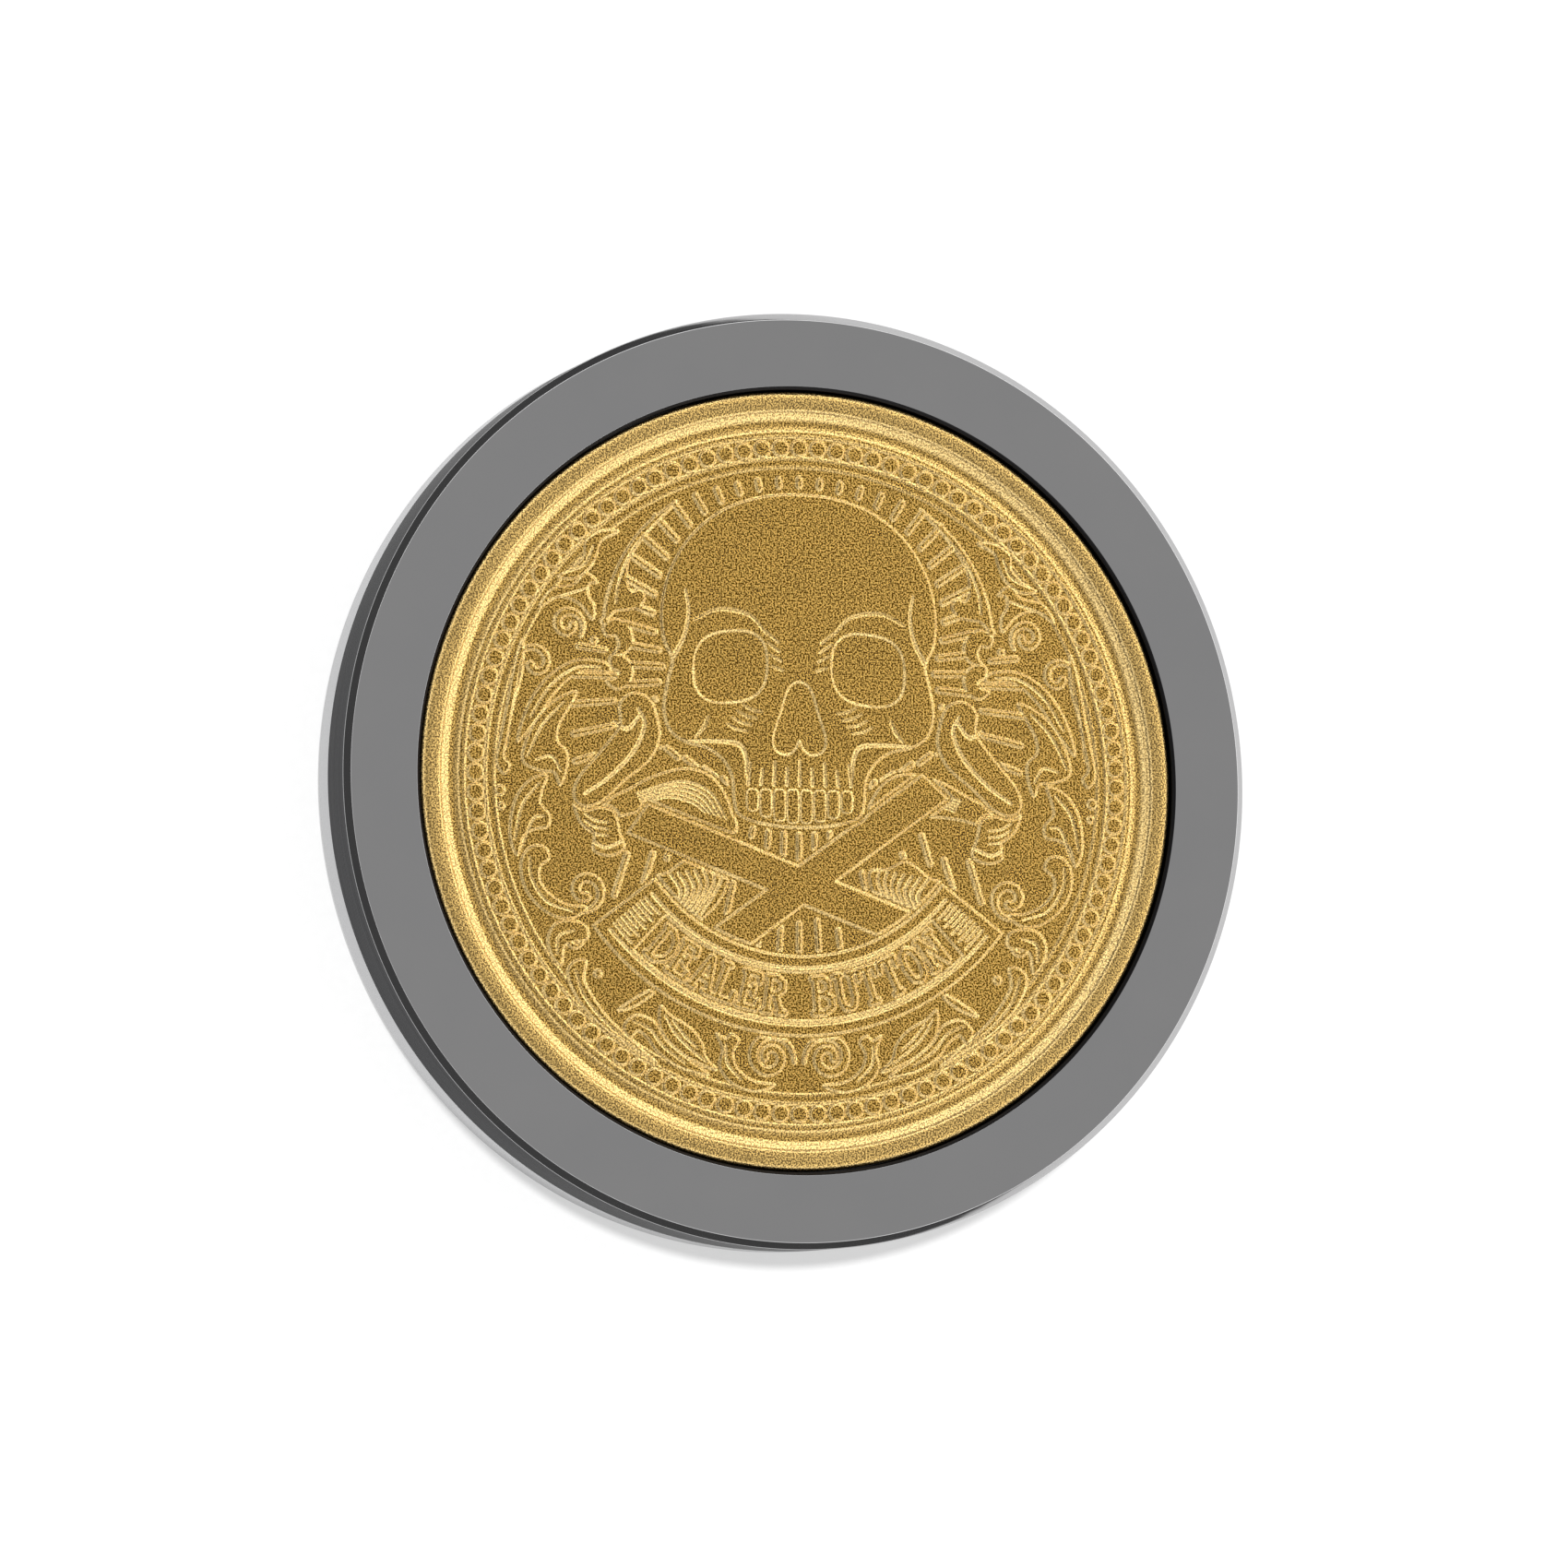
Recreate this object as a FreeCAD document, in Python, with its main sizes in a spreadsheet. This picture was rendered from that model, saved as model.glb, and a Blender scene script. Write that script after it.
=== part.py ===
"""Metal dealer button: two polished rings around a steel weight, with a struck medallion in each face.

The button lies flat. Z runs along its axis, the front face is up, and the origin is the centre of
the rear face that it lies on. Lengths are in millimetres.
"""
import FreeCAD, Part
import Sketcher
import os

V = FreeCAD.Vector

doc = FreeCAD.newDocument("DealerButton")

# ---------------------------------------------------------------------------------------------
# Driving dimensions
# ---------------------------------------------------------------------------------------------
SIZES = {
    # the whole button
    "outer_radius": (30.0, "outside of both rings"),
    "button_thickness": (7.4, "rear face to front face"),
    "seam_height": (3.0, "height of the joint between the rings, seen on the rim"),
    "edge_bevel": (0.42, "bevelled outer edge of each face"),
    "seam_break": (0.06, "broken edge each side of the joint"),
    # the seat of each medallion
    "seat_radius": (25.08, "bore that the medallion drops into"),
    "seat_chamfer": (0.2, "chamfer round the mouth of the seat"),
    "ledge_radius": (21.0, "hole in the ledge under the medallion"),
    "ledge_thickness": (0.8, "web of metal that carries the medallion"),
    # the register that centres the rings on each other
    "register_radius": (27.0, "outside of the spigot on the rear ring"),
    "register_length": (1.0, "how far the spigot stands up"),
    "register_clearance": (0.02, "radial play of the spigot"),
    # the weight
    "weight_radius": (24.0, "flange of the weight"),
    "weight_clearance": (0.1, "radial play of the weight in the rings"),
    # the medallions
    "medallion_radius": (25.0, "outside of a medallion"),
    "medallion_thickness": (1.75, "back to the top of its rim"),
    "medallion_inset": (0.25, "how far the rim lies below the ring's face"),
    "medallion_round": (0.2, "rounded edge of the rim"),
    "rim_inner_radius": (23.4, "inner edge of the flat rim"),
    "field_radius": (22.6, "foot of the slope inside the rim"),
    "field_depth": (0.4, "field below the rim"),
    "bead_circle_radius": (21.25, "centres of the bead border"),
    "bead_radius": (0.52, "one bead"),
    "bead_height": (0.2, "bead above the field"),
    "bead_count": (108, "beads round the border"),
    # the adhesive discs
    "adhesive_radius": (24.6, "outside of an adhesive disc"),
    "adhesive_thickness": (0.15, "double-sided film"),
}

sheet = doc.addObject("Spreadsheet::Sheet", "Sizes")
for row, (alias, (value, note)) in enumerate(SIZES.items(), start=1):
    sheet.set("A%d" % row, note)
    sheet.set("B%d" % row, str(value))
    sheet.setAlias("B%d" % row, alias)
doc.recompute()


def ref(alias):
    """The expression that reads one cell of the sheet."""
    return "Sizes." + alias


# Heights and radii that follow from the driving dimensions.
TOP = ref("button_thickness")
SEAM = ref("seam_height")
PILE = "(%s + %s + %s)" % (ref("medallion_inset"), ref("medallion_thickness"), ref("adhesive_thickness"))
FRONT_LEDGE_TOP = "(%s - %s)" % (TOP, PILE)
FRONT_LEDGE_UNDER = "(%s - %s)" % (FRONT_LEDGE_TOP, ref("ledge_thickness"))
REAR_LEDGE_UNDER = PILE
REAR_LEDGE_TOP = "(%s + %s)" % (PILE, ref("ledge_thickness"))
SPIGOT_TOP = "(%s + %s)" % (SEAM, ref("register_length"))
SOCKET_TOP = "(%s + 2 * %s)" % (SPIGOT_TOP, ref("register_clearance"))
SOCKET_RADIUS = "(%s + %s)" % (ref("register_radius"), ref("register_clearance"))
WEIGHT_BORE = "(%s + %s)" % (ref("weight_radius"), ref("weight_clearance"))
WEIGHT_BOSS = "(%s - %s)" % (ref("ledge_radius"), ref("weight_clearance"))


def plane(body, role):
    """One of the body's own origin planes."""
    return next(f for f in body.Origin.OriginFeatures if f.Role == role)


def new_body(name):
    body = doc.addObject("PartDesign::Body", name)
    body.Label = name
    return body


def profile_sketch(body, name, outline):
    """A closed half section in the XZ plane: each corner is a pair of expressions, radius and height."""
    sketch = body.newObject("Sketcher::SketchObject", name)
    sketch.AttachmentSupport = [(plane(body, "XZ_Plane"), "")]
    sketch.MapMode = "FlatFace"
    corners = [V(sheet.evalExpression(r), sheet.evalExpression(z), 0) for r, z in outline]
    count = len(corners)
    for i in range(count):
        sketch.addGeometry(Part.LineSegment(corners[i], corners[(i + 1) % count]), False)
    for i in range(count):
        sketch.addConstraint(Sketcher.Constraint("Coincident", i, 2, (i + 1) % count, 1))
    for i, (radius, height) in enumerate(outline):
        for kind, value, expression in (("DistanceX", corners[i].x, radius),
                                        ("DistanceY", corners[i].y, height)):
            number = sketch.addConstraint(Sketcher.Constraint(kind, -1, 1, i, 1, value))
            sketch.setExpression("Constraints[%d]" % number, expression)
    return sketch


def turned(body, name, outline):
    """A solid turned about Z from its half section."""
    sketch = profile_sketch(body, name + "_section", outline)
    turn = body.newObject("PartDesign::Revolution", name + "_turned")
    turn.Profile = sketch
    turn.ReferenceAxis = (sketch, ["V_Axis"])
    turn.Angle = 360
    doc.recompute()
    return turn


def circle_edge(shape, radius, height):
    """The name of the circular edge of this radius at this height."""
    for number, edge in enumerate(shape.Edges, start=1):
        curve = edge.Curve
        if not isinstance(curve, Part.Circle):
            continue
        if abs(curve.Radius - radius) < 1e-4 and abs(curve.Center.z - height) < 1e-4:
            return "Edge%d" % number
    raise ValueError("no circular edge at radius %.3f, height %.3f" % (radius, height))


def dress(body, kind, name, size, places):
    """A fillet or a chamfer on the circular edges at the given radii and heights."""
    base = body.Tip
    edges = [circle_edge(base.Shape, sheet.evalExpression(r), sheet.evalExpression(z)) for r, z in places]
    feature = body.newObject("PartDesign::" + kind, name)
    feature.Base = (base, edges)
    feature.setExpression("Radius" if kind == "Fillet" else "Size", ref(size))
    doc.recompute()
    return feature


# ---------------------------------------------------------------------------------------------
# Rings: the front one carries the face that is seen, the rear one has the spigot
# ---------------------------------------------------------------------------------------------
def front_ring():
    body = new_body("front_ring")
    turned(body, "front_ring", [
        (ref("outer_radius"), SEAM),
        (ref("outer_radius"), TOP),
        (ref("seat_radius"), TOP),
        (ref("seat_radius"), FRONT_LEDGE_TOP),
        (ref("ledge_radius"), FRONT_LEDGE_TOP),
        (ref("ledge_radius"), FRONT_LEDGE_UNDER),
        (WEIGHT_BORE, FRONT_LEDGE_UNDER),
        (WEIGHT_BORE, SOCKET_TOP),
        (SOCKET_RADIUS, SOCKET_TOP),
        (SOCKET_RADIUS, SEAM),
    ])
    dress(body, "Chamfer", "front_ring_edge", "edge_bevel", [(ref("outer_radius"), TOP)])
    dress(body, "Chamfer", "front_ring_mouth", "seat_chamfer", [(ref("seat_radius"), TOP)])
    dress(body, "Chamfer", "front_ring_seam", "seam_break", [(ref("outer_radius"), SEAM)])
    return body


def rear_ring():
    body = new_body("rear_ring")
    turned(body, "rear_ring", [
        (ref("outer_radius"), "0"),
        (ref("outer_radius"), SEAM),
        (ref("register_radius"), SEAM),
        (ref("register_radius"), SPIGOT_TOP),
        (WEIGHT_BORE, SPIGOT_TOP),
        (WEIGHT_BORE, REAR_LEDGE_TOP),
        (ref("ledge_radius"), REAR_LEDGE_TOP),
        (ref("ledge_radius"), REAR_LEDGE_UNDER),
        (ref("seat_radius"), REAR_LEDGE_UNDER),
        (ref("seat_radius"), "0"),
    ])
    dress(body, "Chamfer", "rear_ring_edge", "edge_bevel", [(ref("outer_radius"), "0")])
    dress(body, "Chamfer", "rear_ring_mouth", "seat_chamfer", [(ref("seat_radius"), "0")])
    dress(body, "Chamfer", "rear_ring_seam", "seam_break", [(ref("outer_radius"), SEAM)])
    return body


# ---------------------------------------------------------------------------------------------
# Weight: a steel disc clamped between the two ledges, with a boss each side that fills their holes
# ---------------------------------------------------------------------------------------------
def steel_weight():
    body = new_body("steel_weight")
    turned(body, "steel_weight", [
        ("0", REAR_LEDGE_UNDER),
        (WEIGHT_BOSS, REAR_LEDGE_UNDER),
        (WEIGHT_BOSS, REAR_LEDGE_TOP),
        (ref("weight_radius"), REAR_LEDGE_TOP),
        (ref("weight_radius"), FRONT_LEDGE_UNDER),
        (WEIGHT_BOSS, FRONT_LEDGE_UNDER),
        (WEIGHT_BOSS, FRONT_LEDGE_TOP),
        ("0", FRONT_LEDGE_TOP),
    ])
    return body


# ---------------------------------------------------------------------------------------------
# Adhesive: one thin double-sided disc behind each medallion
# ---------------------------------------------------------------------------------------------
def adhesive(name, underside):
    disc = doc.addObject("Part::Cylinder", name)
    disc.Label = name
    disc.setExpression("Radius", ref("adhesive_radius"))
    disc.setExpression("Height", ref("adhesive_thickness"))
    disc.setExpression("Placement.Base.z", underside)
    return disc


# ---------------------------------------------------------------------------------------------
# Medallion: a struck disc, modelled on its back, with a flat rim, a sunk field and a bead border
# ---------------------------------------------------------------------------------------------
def medallion(name):
    body = new_body(name)
    rim_top = ref("medallion_thickness")
    field = "(%s - %s)" % (rim_top, ref("field_depth"))
    turned(body, name, [
        ("0", "0"),
        (ref("medallion_radius"), "0"),
        (ref("medallion_radius"), rim_top),
        (ref("rim_inner_radius"), rim_top),
        (ref("field_radius"), field),
        ("0", field),
    ])
    dress(body, "Fillet", name + "_rim", "medallion_round", [(ref("medallion_radius"), rim_top)])

    sketch = body.newObject("Sketcher::SketchObject", name + "_bead_outline")
    sketch.AttachmentSupport = [(plane(body, "XY_Plane"), "")]
    sketch.MapMode = "FlatFace"
    sketch.setExpression("AttachmentOffset.Base.z", field)
    centre = V(sheet.bead_circle_radius, 0, 0)
    sketch.addGeometry(Part.Circle(centre, V(0, 0, 1), sheet.bead_radius), False)
    sketch.addConstraint(Sketcher.Constraint("PointOnObject", 0, 3, -1))
    reach = sketch.addConstraint(Sketcher.Constraint("DistanceX", -1, 1, 0, 3, sheet.bead_circle_radius))
    sketch.setExpression("Constraints[%d]" % reach, ref("bead_circle_radius"))
    size = sketch.addConstraint(Sketcher.Constraint("Radius", 0, sheet.bead_radius))
    sketch.setExpression("Constraints[%d]" % size, ref("bead_radius"))

    bead = body.newObject("PartDesign::Pad", name + "_bead")
    bead.Profile = sketch
    bead.setExpression("Length", ref("bead_height"))
    doc.recompute()

    border = body.newObject("PartDesign::PolarPattern", name + "_bead_border")
    border.Originals = [bead]
    border.Axis = (sketch, ["N_Axis"])
    border.Angle = 360
    border.setExpression("Occurrences", ref("bead_count"))
    body.Tip = border
    doc.recompute()
    return body


def front_medallion():
    body = medallion("front_medallion")
    body.setExpression("Placement.Base.z", "%s - %s - %s" % (TOP, ref("medallion_inset"),
                                                             ref("medallion_thickness")))
    return body


def rear_medallion():
    """The same medallion turned over, so that it reads upright when the button is flipped sideways."""
    body = medallion("rear_medallion")
    body.Placement = FreeCAD.Placement(V(0, 0, 0), FreeCAD.Rotation(V(0, 1, 0), 180))
    body.setExpression("Placement.Base.z", "%s + %s" % (ref("medallion_inset"), ref("medallion_thickness")))
    return body


pieces = [
    front_ring(),
    rear_ring(),
    steel_weight(),
    front_medallion(),
    rear_medallion(),
    adhesive("front_adhesive", FRONT_LEDGE_TOP),
    adhesive("rear_adhesive", "%s + %s" % (ref("medallion_inset"), ref("medallion_thickness"))),
]
doc.recompute()

# ---------------------------------------------------------------------------------------------
# Check every feature and piece, then write the pieces
# ---------------------------------------------------------------------------------------------
for item in doc.Objects:
    if "Invalid" in item.State or "Error" in item.State:
        raise RuntimeError("%s failed: %s" % (item.Name, item.State))

for piece in pieces:
    shape = piece.Shape
    if shape.isNull() or not shape.isValid() or len(shape.Solids) != 1:
        raise RuntimeError("%s is not one valid solid" % piece.Label)

plain_field = sheet.medallion_thickness - sheet.field_depth
bead_tops = plain_field + sheet.bead_height
for piece in pieces:
    if piece.Label.endswith("_medallion"):
        tops = [f for f in piece.Tip.Shape.Faces if abs(f.BoundBox.ZMin - bead_tops) < 1e-6
                and abs(f.BoundBox.ZMax - bead_tops) < 1e-6]
        print("%s: %d beads" % (piece.Label, len(tops)))

os.makedirs("parts", exist_ok=True)
for piece in pieces:
    piece.Shape.exportStep("parts/%s.step" % piece.Label)
    box = piece.Shape.optimalBoundingBox()
    print("%-16s %8.2f mm3   z %.2f to %.2f   diameter %.2f"
          % (piece.Label, piece.Shape.Volume, box.ZMin, box.ZMax, box.XLength))
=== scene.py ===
# %% [markdown]
# # A metal dealer button
#
# A dealer button marks whose turn it is to deal. This one is a heavy disc, 60 mm across and 7.4 mm
# thick. Two nickel-plated rings meet at a seam on the rim and close round a steel weight, and a
# gold-coloured medallion, struck like a coin, is glued into each face.
#
# The solid model gives every piece its size and place. Here the pieces that show get the detail
# that a die, a lathe and a plating bath leave behind: fine round turnings, a struck picture, a
# blasted gold finish. Lengths are in millimetres until a mesh is made, because coins are drawn in
# millimetres, and `MM` turns them into Blender's metres.

# %% The frame that everything hangs on
import math

import bpy
import numpy as np
from mathutils import Matrix, Vector


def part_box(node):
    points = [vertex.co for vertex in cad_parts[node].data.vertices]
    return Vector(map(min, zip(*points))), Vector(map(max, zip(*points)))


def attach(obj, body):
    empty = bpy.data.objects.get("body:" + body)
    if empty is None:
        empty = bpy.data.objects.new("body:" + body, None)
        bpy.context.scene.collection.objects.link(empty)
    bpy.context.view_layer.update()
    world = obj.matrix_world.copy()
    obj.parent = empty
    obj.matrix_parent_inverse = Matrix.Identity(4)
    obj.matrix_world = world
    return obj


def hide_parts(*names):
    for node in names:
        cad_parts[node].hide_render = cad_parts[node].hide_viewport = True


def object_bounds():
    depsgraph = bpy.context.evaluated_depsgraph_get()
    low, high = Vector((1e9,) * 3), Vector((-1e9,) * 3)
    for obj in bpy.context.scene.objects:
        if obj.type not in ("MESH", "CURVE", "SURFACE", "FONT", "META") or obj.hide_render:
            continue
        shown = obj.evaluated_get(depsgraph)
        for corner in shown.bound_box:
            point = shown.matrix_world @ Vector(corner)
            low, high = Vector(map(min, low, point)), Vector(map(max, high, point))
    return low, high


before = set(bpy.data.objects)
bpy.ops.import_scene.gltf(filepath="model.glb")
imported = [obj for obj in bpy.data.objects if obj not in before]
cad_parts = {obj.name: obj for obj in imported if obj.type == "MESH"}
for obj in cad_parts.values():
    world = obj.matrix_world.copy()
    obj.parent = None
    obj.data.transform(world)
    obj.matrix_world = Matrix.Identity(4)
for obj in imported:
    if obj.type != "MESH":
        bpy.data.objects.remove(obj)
cad_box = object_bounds()
MM = 0.001
print("the solid model spans", [tuple(round(v / MM, 2) for v in corner) for corner in cad_box], "mm")

# %% [markdown]
# The boxes of the solids hold most of the sizes that are needed: how wide the button is, where the
# seam is, how deep each medallion sits. Only the small details that no box shows are numbers here,
# such as the bevel of an edge.

# %% Sizes read off the solids
def span(node):
    """Radius, lowest and highest point of a round solid, in mm."""
    low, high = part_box(node)
    return high.x / MM, low.z / MM, high.z / MM


OUTER, SEAM, TOP = span("front_ring")
DISC, DISC_BACK, DISC_TOP = span("front_medallion")
REAR_FACE, REAR_BACK = span("rear_medallion")[1:]
SEAT = DISC + 0.08                    # the recess, with a hair of play round the medallion
EDGE_LAND, EDGE_DROP = 0.45, 0.38     # the bevelled outer edge of each face: across and down
MOUTH = 0.2                           # the chamfer at the recess's mouth
LEDGE, LEDGE_THICK = 21.0, 0.8        # the hole in the ledge under the medallion, and the ledge
SPIGOT = 27.0                         # the rear ring's spigot, which fits inside the front ring
SPIGOT_TOP = span("rear_ring")[2]
WEIGHT = span("steel_weight")[0] + 0.1
print(f"ring radius {OUTER:.2f}, seam at {SEAM:.2f}, face at {TOP:.2f}")
print(f"medallion radius {DISC:.2f}, from {DISC_BACK:.2f} to {DISC_TOP:.2f}")

# %% [markdown]
# ## The camera
#
# The button is seen almost straight down on its face, with the eye a little to the left and below,
# so that the left side of the rim shows as a thin dark crescent. It is a long lens from half a
# metre away, as for any small product, so a circle stays nearly a circle. The way to aim it is to
# build its three axes: one from the lens back to the eye, one to the right, one up.

# %% Camera
EYE_LEFT, EYE_BELOW = math.radians(16.55), math.radians(4.79)    # how far the eye is off the axis
EYE_DISTANCE = 500
AIM_RIGHT, AIM_UP = -1.15, -0.30                                 # where the frame's middle lies
LENS, SENSOR = 179.8, 36


def make_camera():
    back = Vector((-math.sin(EYE_LEFT) * math.cos(EYE_BELOW), -math.sin(EYE_BELOW),
                   math.cos(EYE_LEFT) * math.cos(EYE_BELOW)))
    right = Vector((0, 1, 0)).cross(back).normalized()
    up = back.cross(right)
    place = Vector((0, 0, TOP)) + AIM_RIGHT * right + AIM_UP * up + EYE_DISTANCE * back
    data = bpy.data.cameras.new("camera")
    data.lens, data.sensor_width = LENS, SENSOR
    data.clip_start, data.clip_end = 0.01, 50
    camera = bpy.data.objects.new("camera", data)
    camera.matrix_world = Matrix.LocRotScale(
        place * MM, Matrix((right, up, back)).transposed().to_quaternion(), None)
    bpy.context.scene.collection.objects.link(camera)
    bpy.context.scene.camera = camera
    return camera


camera = make_camera()
print("the eye is at", [round(v / MM) for v in camera.location], "mm")

# %% [markdown]
# ## Finishes
#
# Every finish is a small tree of nodes ending in one Principled shader. `linear` turns the hex
# colour that a paint chip or a screen gives into the linear numbers that light adds up in. `add`
# puts one node in a tree, with its settings and with what is plugged into it. `start_finish` and
# `end_finish` are the two ends of every tree: the object's own coordinates, and the shader with a
# colour, an uneven gloss and a fine bump.

# %% Helpers for finishes
def linear(hex_colour):
    """An sRGB hex colour as linear red, green, blue and 1."""
    parts = [int(hex_colour[i:i + 2], 16) / 255 for i in (1, 3, 5)]
    return [c / 12.92 if c <= 0.04045 else ((c + 0.055) / 1.055) ** 2.4 for c in parts] + [1.0]


def add(tree, kind, settings=None, links=None):
    """Adds a node. Settings are its own options or its sockets' values; links plug outputs in."""
    node = tree.nodes.new(kind)
    for name, value in (settings or {}).items():
        if isinstance(name, str) and hasattr(node, name):
            setattr(node, name, value)
        else:
            node.inputs[name].default_value = value
    for name, source in (links or {}).items():
        tree.links.new(source, node.inputs[name])
    return node


def start_finish(name, settings):
    """A new material: returns it, its tree and its coordinates. Settings are its fixed values."""
    material = bpy.data.materials.new(name)
    material.use_nodes = True
    tree = material.node_tree
    for socket, value in settings.items():
        tree.nodes["Principled BSDF"].inputs[socket].default_value = value
    return material, tree, add(tree, "ShaderNodeTexCoord").outputs["Object"]


def end_finish(tree, colour, gloss, bump):
    """Plugs in a colour, a gloss (pattern, its range, roughness) and a bump (pattern, strength, mm)."""
    shader = tree.nodes["Principled BSDF"]
    tree.links.new(colour, shader.inputs["Base Color"])
    pattern, low, high, smoothest, roughest = gloss
    spread = add(tree, "ShaderNodeMapRange", {"From Min": low, "From Max": high, "To Min": smoothest,
                                              "To Max": roughest}, {"Value": pattern})
    tree.links.new(spread.outputs["Result"], shader.inputs["Roughness"])
    pattern, strength, depth = bump
    dents = add(tree, "ShaderNodeBump", {"Strength": strength, "Distance": depth * MM},
                {"Height": pattern})
    tree.links.new(dents.outputs["Normal"], shader.inputs["Normal"])


print("white paper is", [round(v, 3) for v in linear("#F4F4F2")[:3]])

# %% [markdown]
# ### Bright nickel
#
# The rings are turned from zinc alloy, buffed and plated with bright nickel. Plating follows the
# metal under it, so the face is a mirror, dulled only by the faint round lines that the buff
# leaves, about 0.1 mm apart. Nickel is a shade darker than silver and barely warm. The lines are a
# wave that runs outwards from the axis, and a soft noise makes the gloss uneven, as handling does.
# A wave node repeats every 2 pi / 20 of its scale, so that is how a spacing in mm becomes a scale.

# %% Bright nickel
NICKEL, HAZED_NICKEL = "#BBBABA", "#B4B4B5"
BUFF_LINE = 0.35        # mm from line to line; the real ones are nearer 0.1, too fine to show
HAZE_PATCH = 6.0        # mm across one patch of haze


def wave_scale(spacing):
    return 2 * math.pi / 20 / (spacing * MM)


def bright_nickel():
    material, tree, place = start_finish("bright_nickel", {"Metallic": 1.0})
    turned = add(tree, "ShaderNodeTexWave",
                 {"wave_type": "RINGS", "rings_direction": "Z", "wave_profile": "SIN",
                  "Scale": wave_scale(BUFF_LINE), "Distortion": 1.5, "Detail": 2.0},
                 {"Vector": place}).outputs["Fac"]
    haze = add(tree, "ShaderNodeTexNoise", {"Scale": 1 / (HAZE_PATCH * MM), "Detail": 3.0},
               {"Vector": place}).outputs["Fac"]
    tone = add(tree, "ShaderNodeMix",
               {"data_type": "RGBA", 6: linear(HAZED_NICKEL), 7: linear(NICKEL)}, {0: haze})
    end_finish(tree, tone.outputs[2], (haze, 0.3, 0.7, 0.05, 0.09), (turned, 0.03, 0.02))
    return material


BRIGHT_NICKEL = bright_nickel()
print("made", BRIGHT_NICKEL.name)

# %% [markdown]
# ### Satin nickel
#
# The turned walls aren't buffed. They keep the fine grooves of the turning tool, so they spread
# what they mirror into satin. The grooves run round the rim, one above the other, so the noise
# that stands for them is stretched round the button and squeezed along its axis.
#
# Three tones are needed, all painted light and shade: a dark one for the front ring's wall,
# painted shade, a pale one for the rear ring's wall, painted light, and nearly black for the
# recesses, painted shade. Metal gets brighter where it is seen edge-on. `edge` holds that back on
# the dark ones.

# %% Satin nickel
TOOL_GROOVE = 0.12      # mm from groove to groove up the wall
GROOVE_RUN = 25.0       # mm that a groove runs round it before it changes


def satin_nickel(name, light, dark, rough, edge="#FFFFFF"):
    """Turned nickel: tones on and between the grooves, roughness, tint where seen edge-on."""
    material, tree, place = start_finish(name, {"Metallic": 1.0, "Specular Tint": linear(edge)})
    run, across = 1 / (GROOVE_RUN * MM), 1 / (TOOL_GROOVE * MM)
    squeezed = add(tree, "ShaderNodeVectorMath", {"operation": "MULTIPLY", 1: (run, run, across)},
                   {0: place})
    grooves = add(tree, "ShaderNodeTexNoise", {"Scale": 1.0, "Detail": 2.0},
                  {"Vector": squeezed.outputs["Vector"]}).outputs["Fac"]
    tone = add(tree, "ShaderNodeMix", {"data_type": "RGBA", 6: linear(dark), 7: linear(light)},
               {0: grooves})
    end_finish(tree, tone.outputs[2], (grooves, 0, 1, rough - 0.08, rough + 0.08), (grooves, 0.25, 0.02))
    return material


# The front ring wall's dark tone is painted shade.
SHADED_SATIN_NICKEL = satin_nickel("satin_nickel", "#7E7E7F", "#666667", 0.28, edge="#959595")
# The rear ring wall's pale tone is painted light.
PAINTED_LIT_NICKEL = satin_nickel("satin_nickel_painted_lit", "#B8B8B9", "#9C9C9E", 0.24)
# The near-black tone of the recesses and their mouths is painted shade.
SHADED_BORE_NICKEL = satin_nickel("satin_nickel_bore_painted_shade", "#3E3E40", "#2A2A2C", 0.34, edge="#959595")
print("made", SHADED_SATIN_NICKEL.name, PAINTED_LIT_NICKEL.name, SHADED_BORE_NICKEL.name)

# %% [markdown]
# ### Blasted gold plate
#
# The medallions are struck in zinc alloy, blasted with fine glass beads and then flashed with
# gold. Each bead leaves a dimple, about 0.05 mm wide, and the dimples throw the light in grains
# that run from brown to pale yellow. That sparkle is most of what the eye reads as old gold. The
# dimples are a fine flat noise that tilts the surface and moves its colour together. The steep
# sides of the picture are painted paler, a painted highlight for the light they catch, and the
# rim is paler from the wear of handling. How much, the mesh says point by point in an attribute
# named "sheen_and_wear".

# %% Blasted gold plate
# GOLD_PALE is painted on the steep sides as a highlight, and on the rim as handling wear.
GOLD_DEEP, GOLD_MAIN, GOLD_PALE = "#573B0D", "#EBBE64", "#FFDE97"
BLAST_GRAIN = 0.11      # mm, twice the real dimples, which are too fine to show
HANDLED_PATCH = 2.5     # mm across one patch that fingers have dulled


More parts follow.
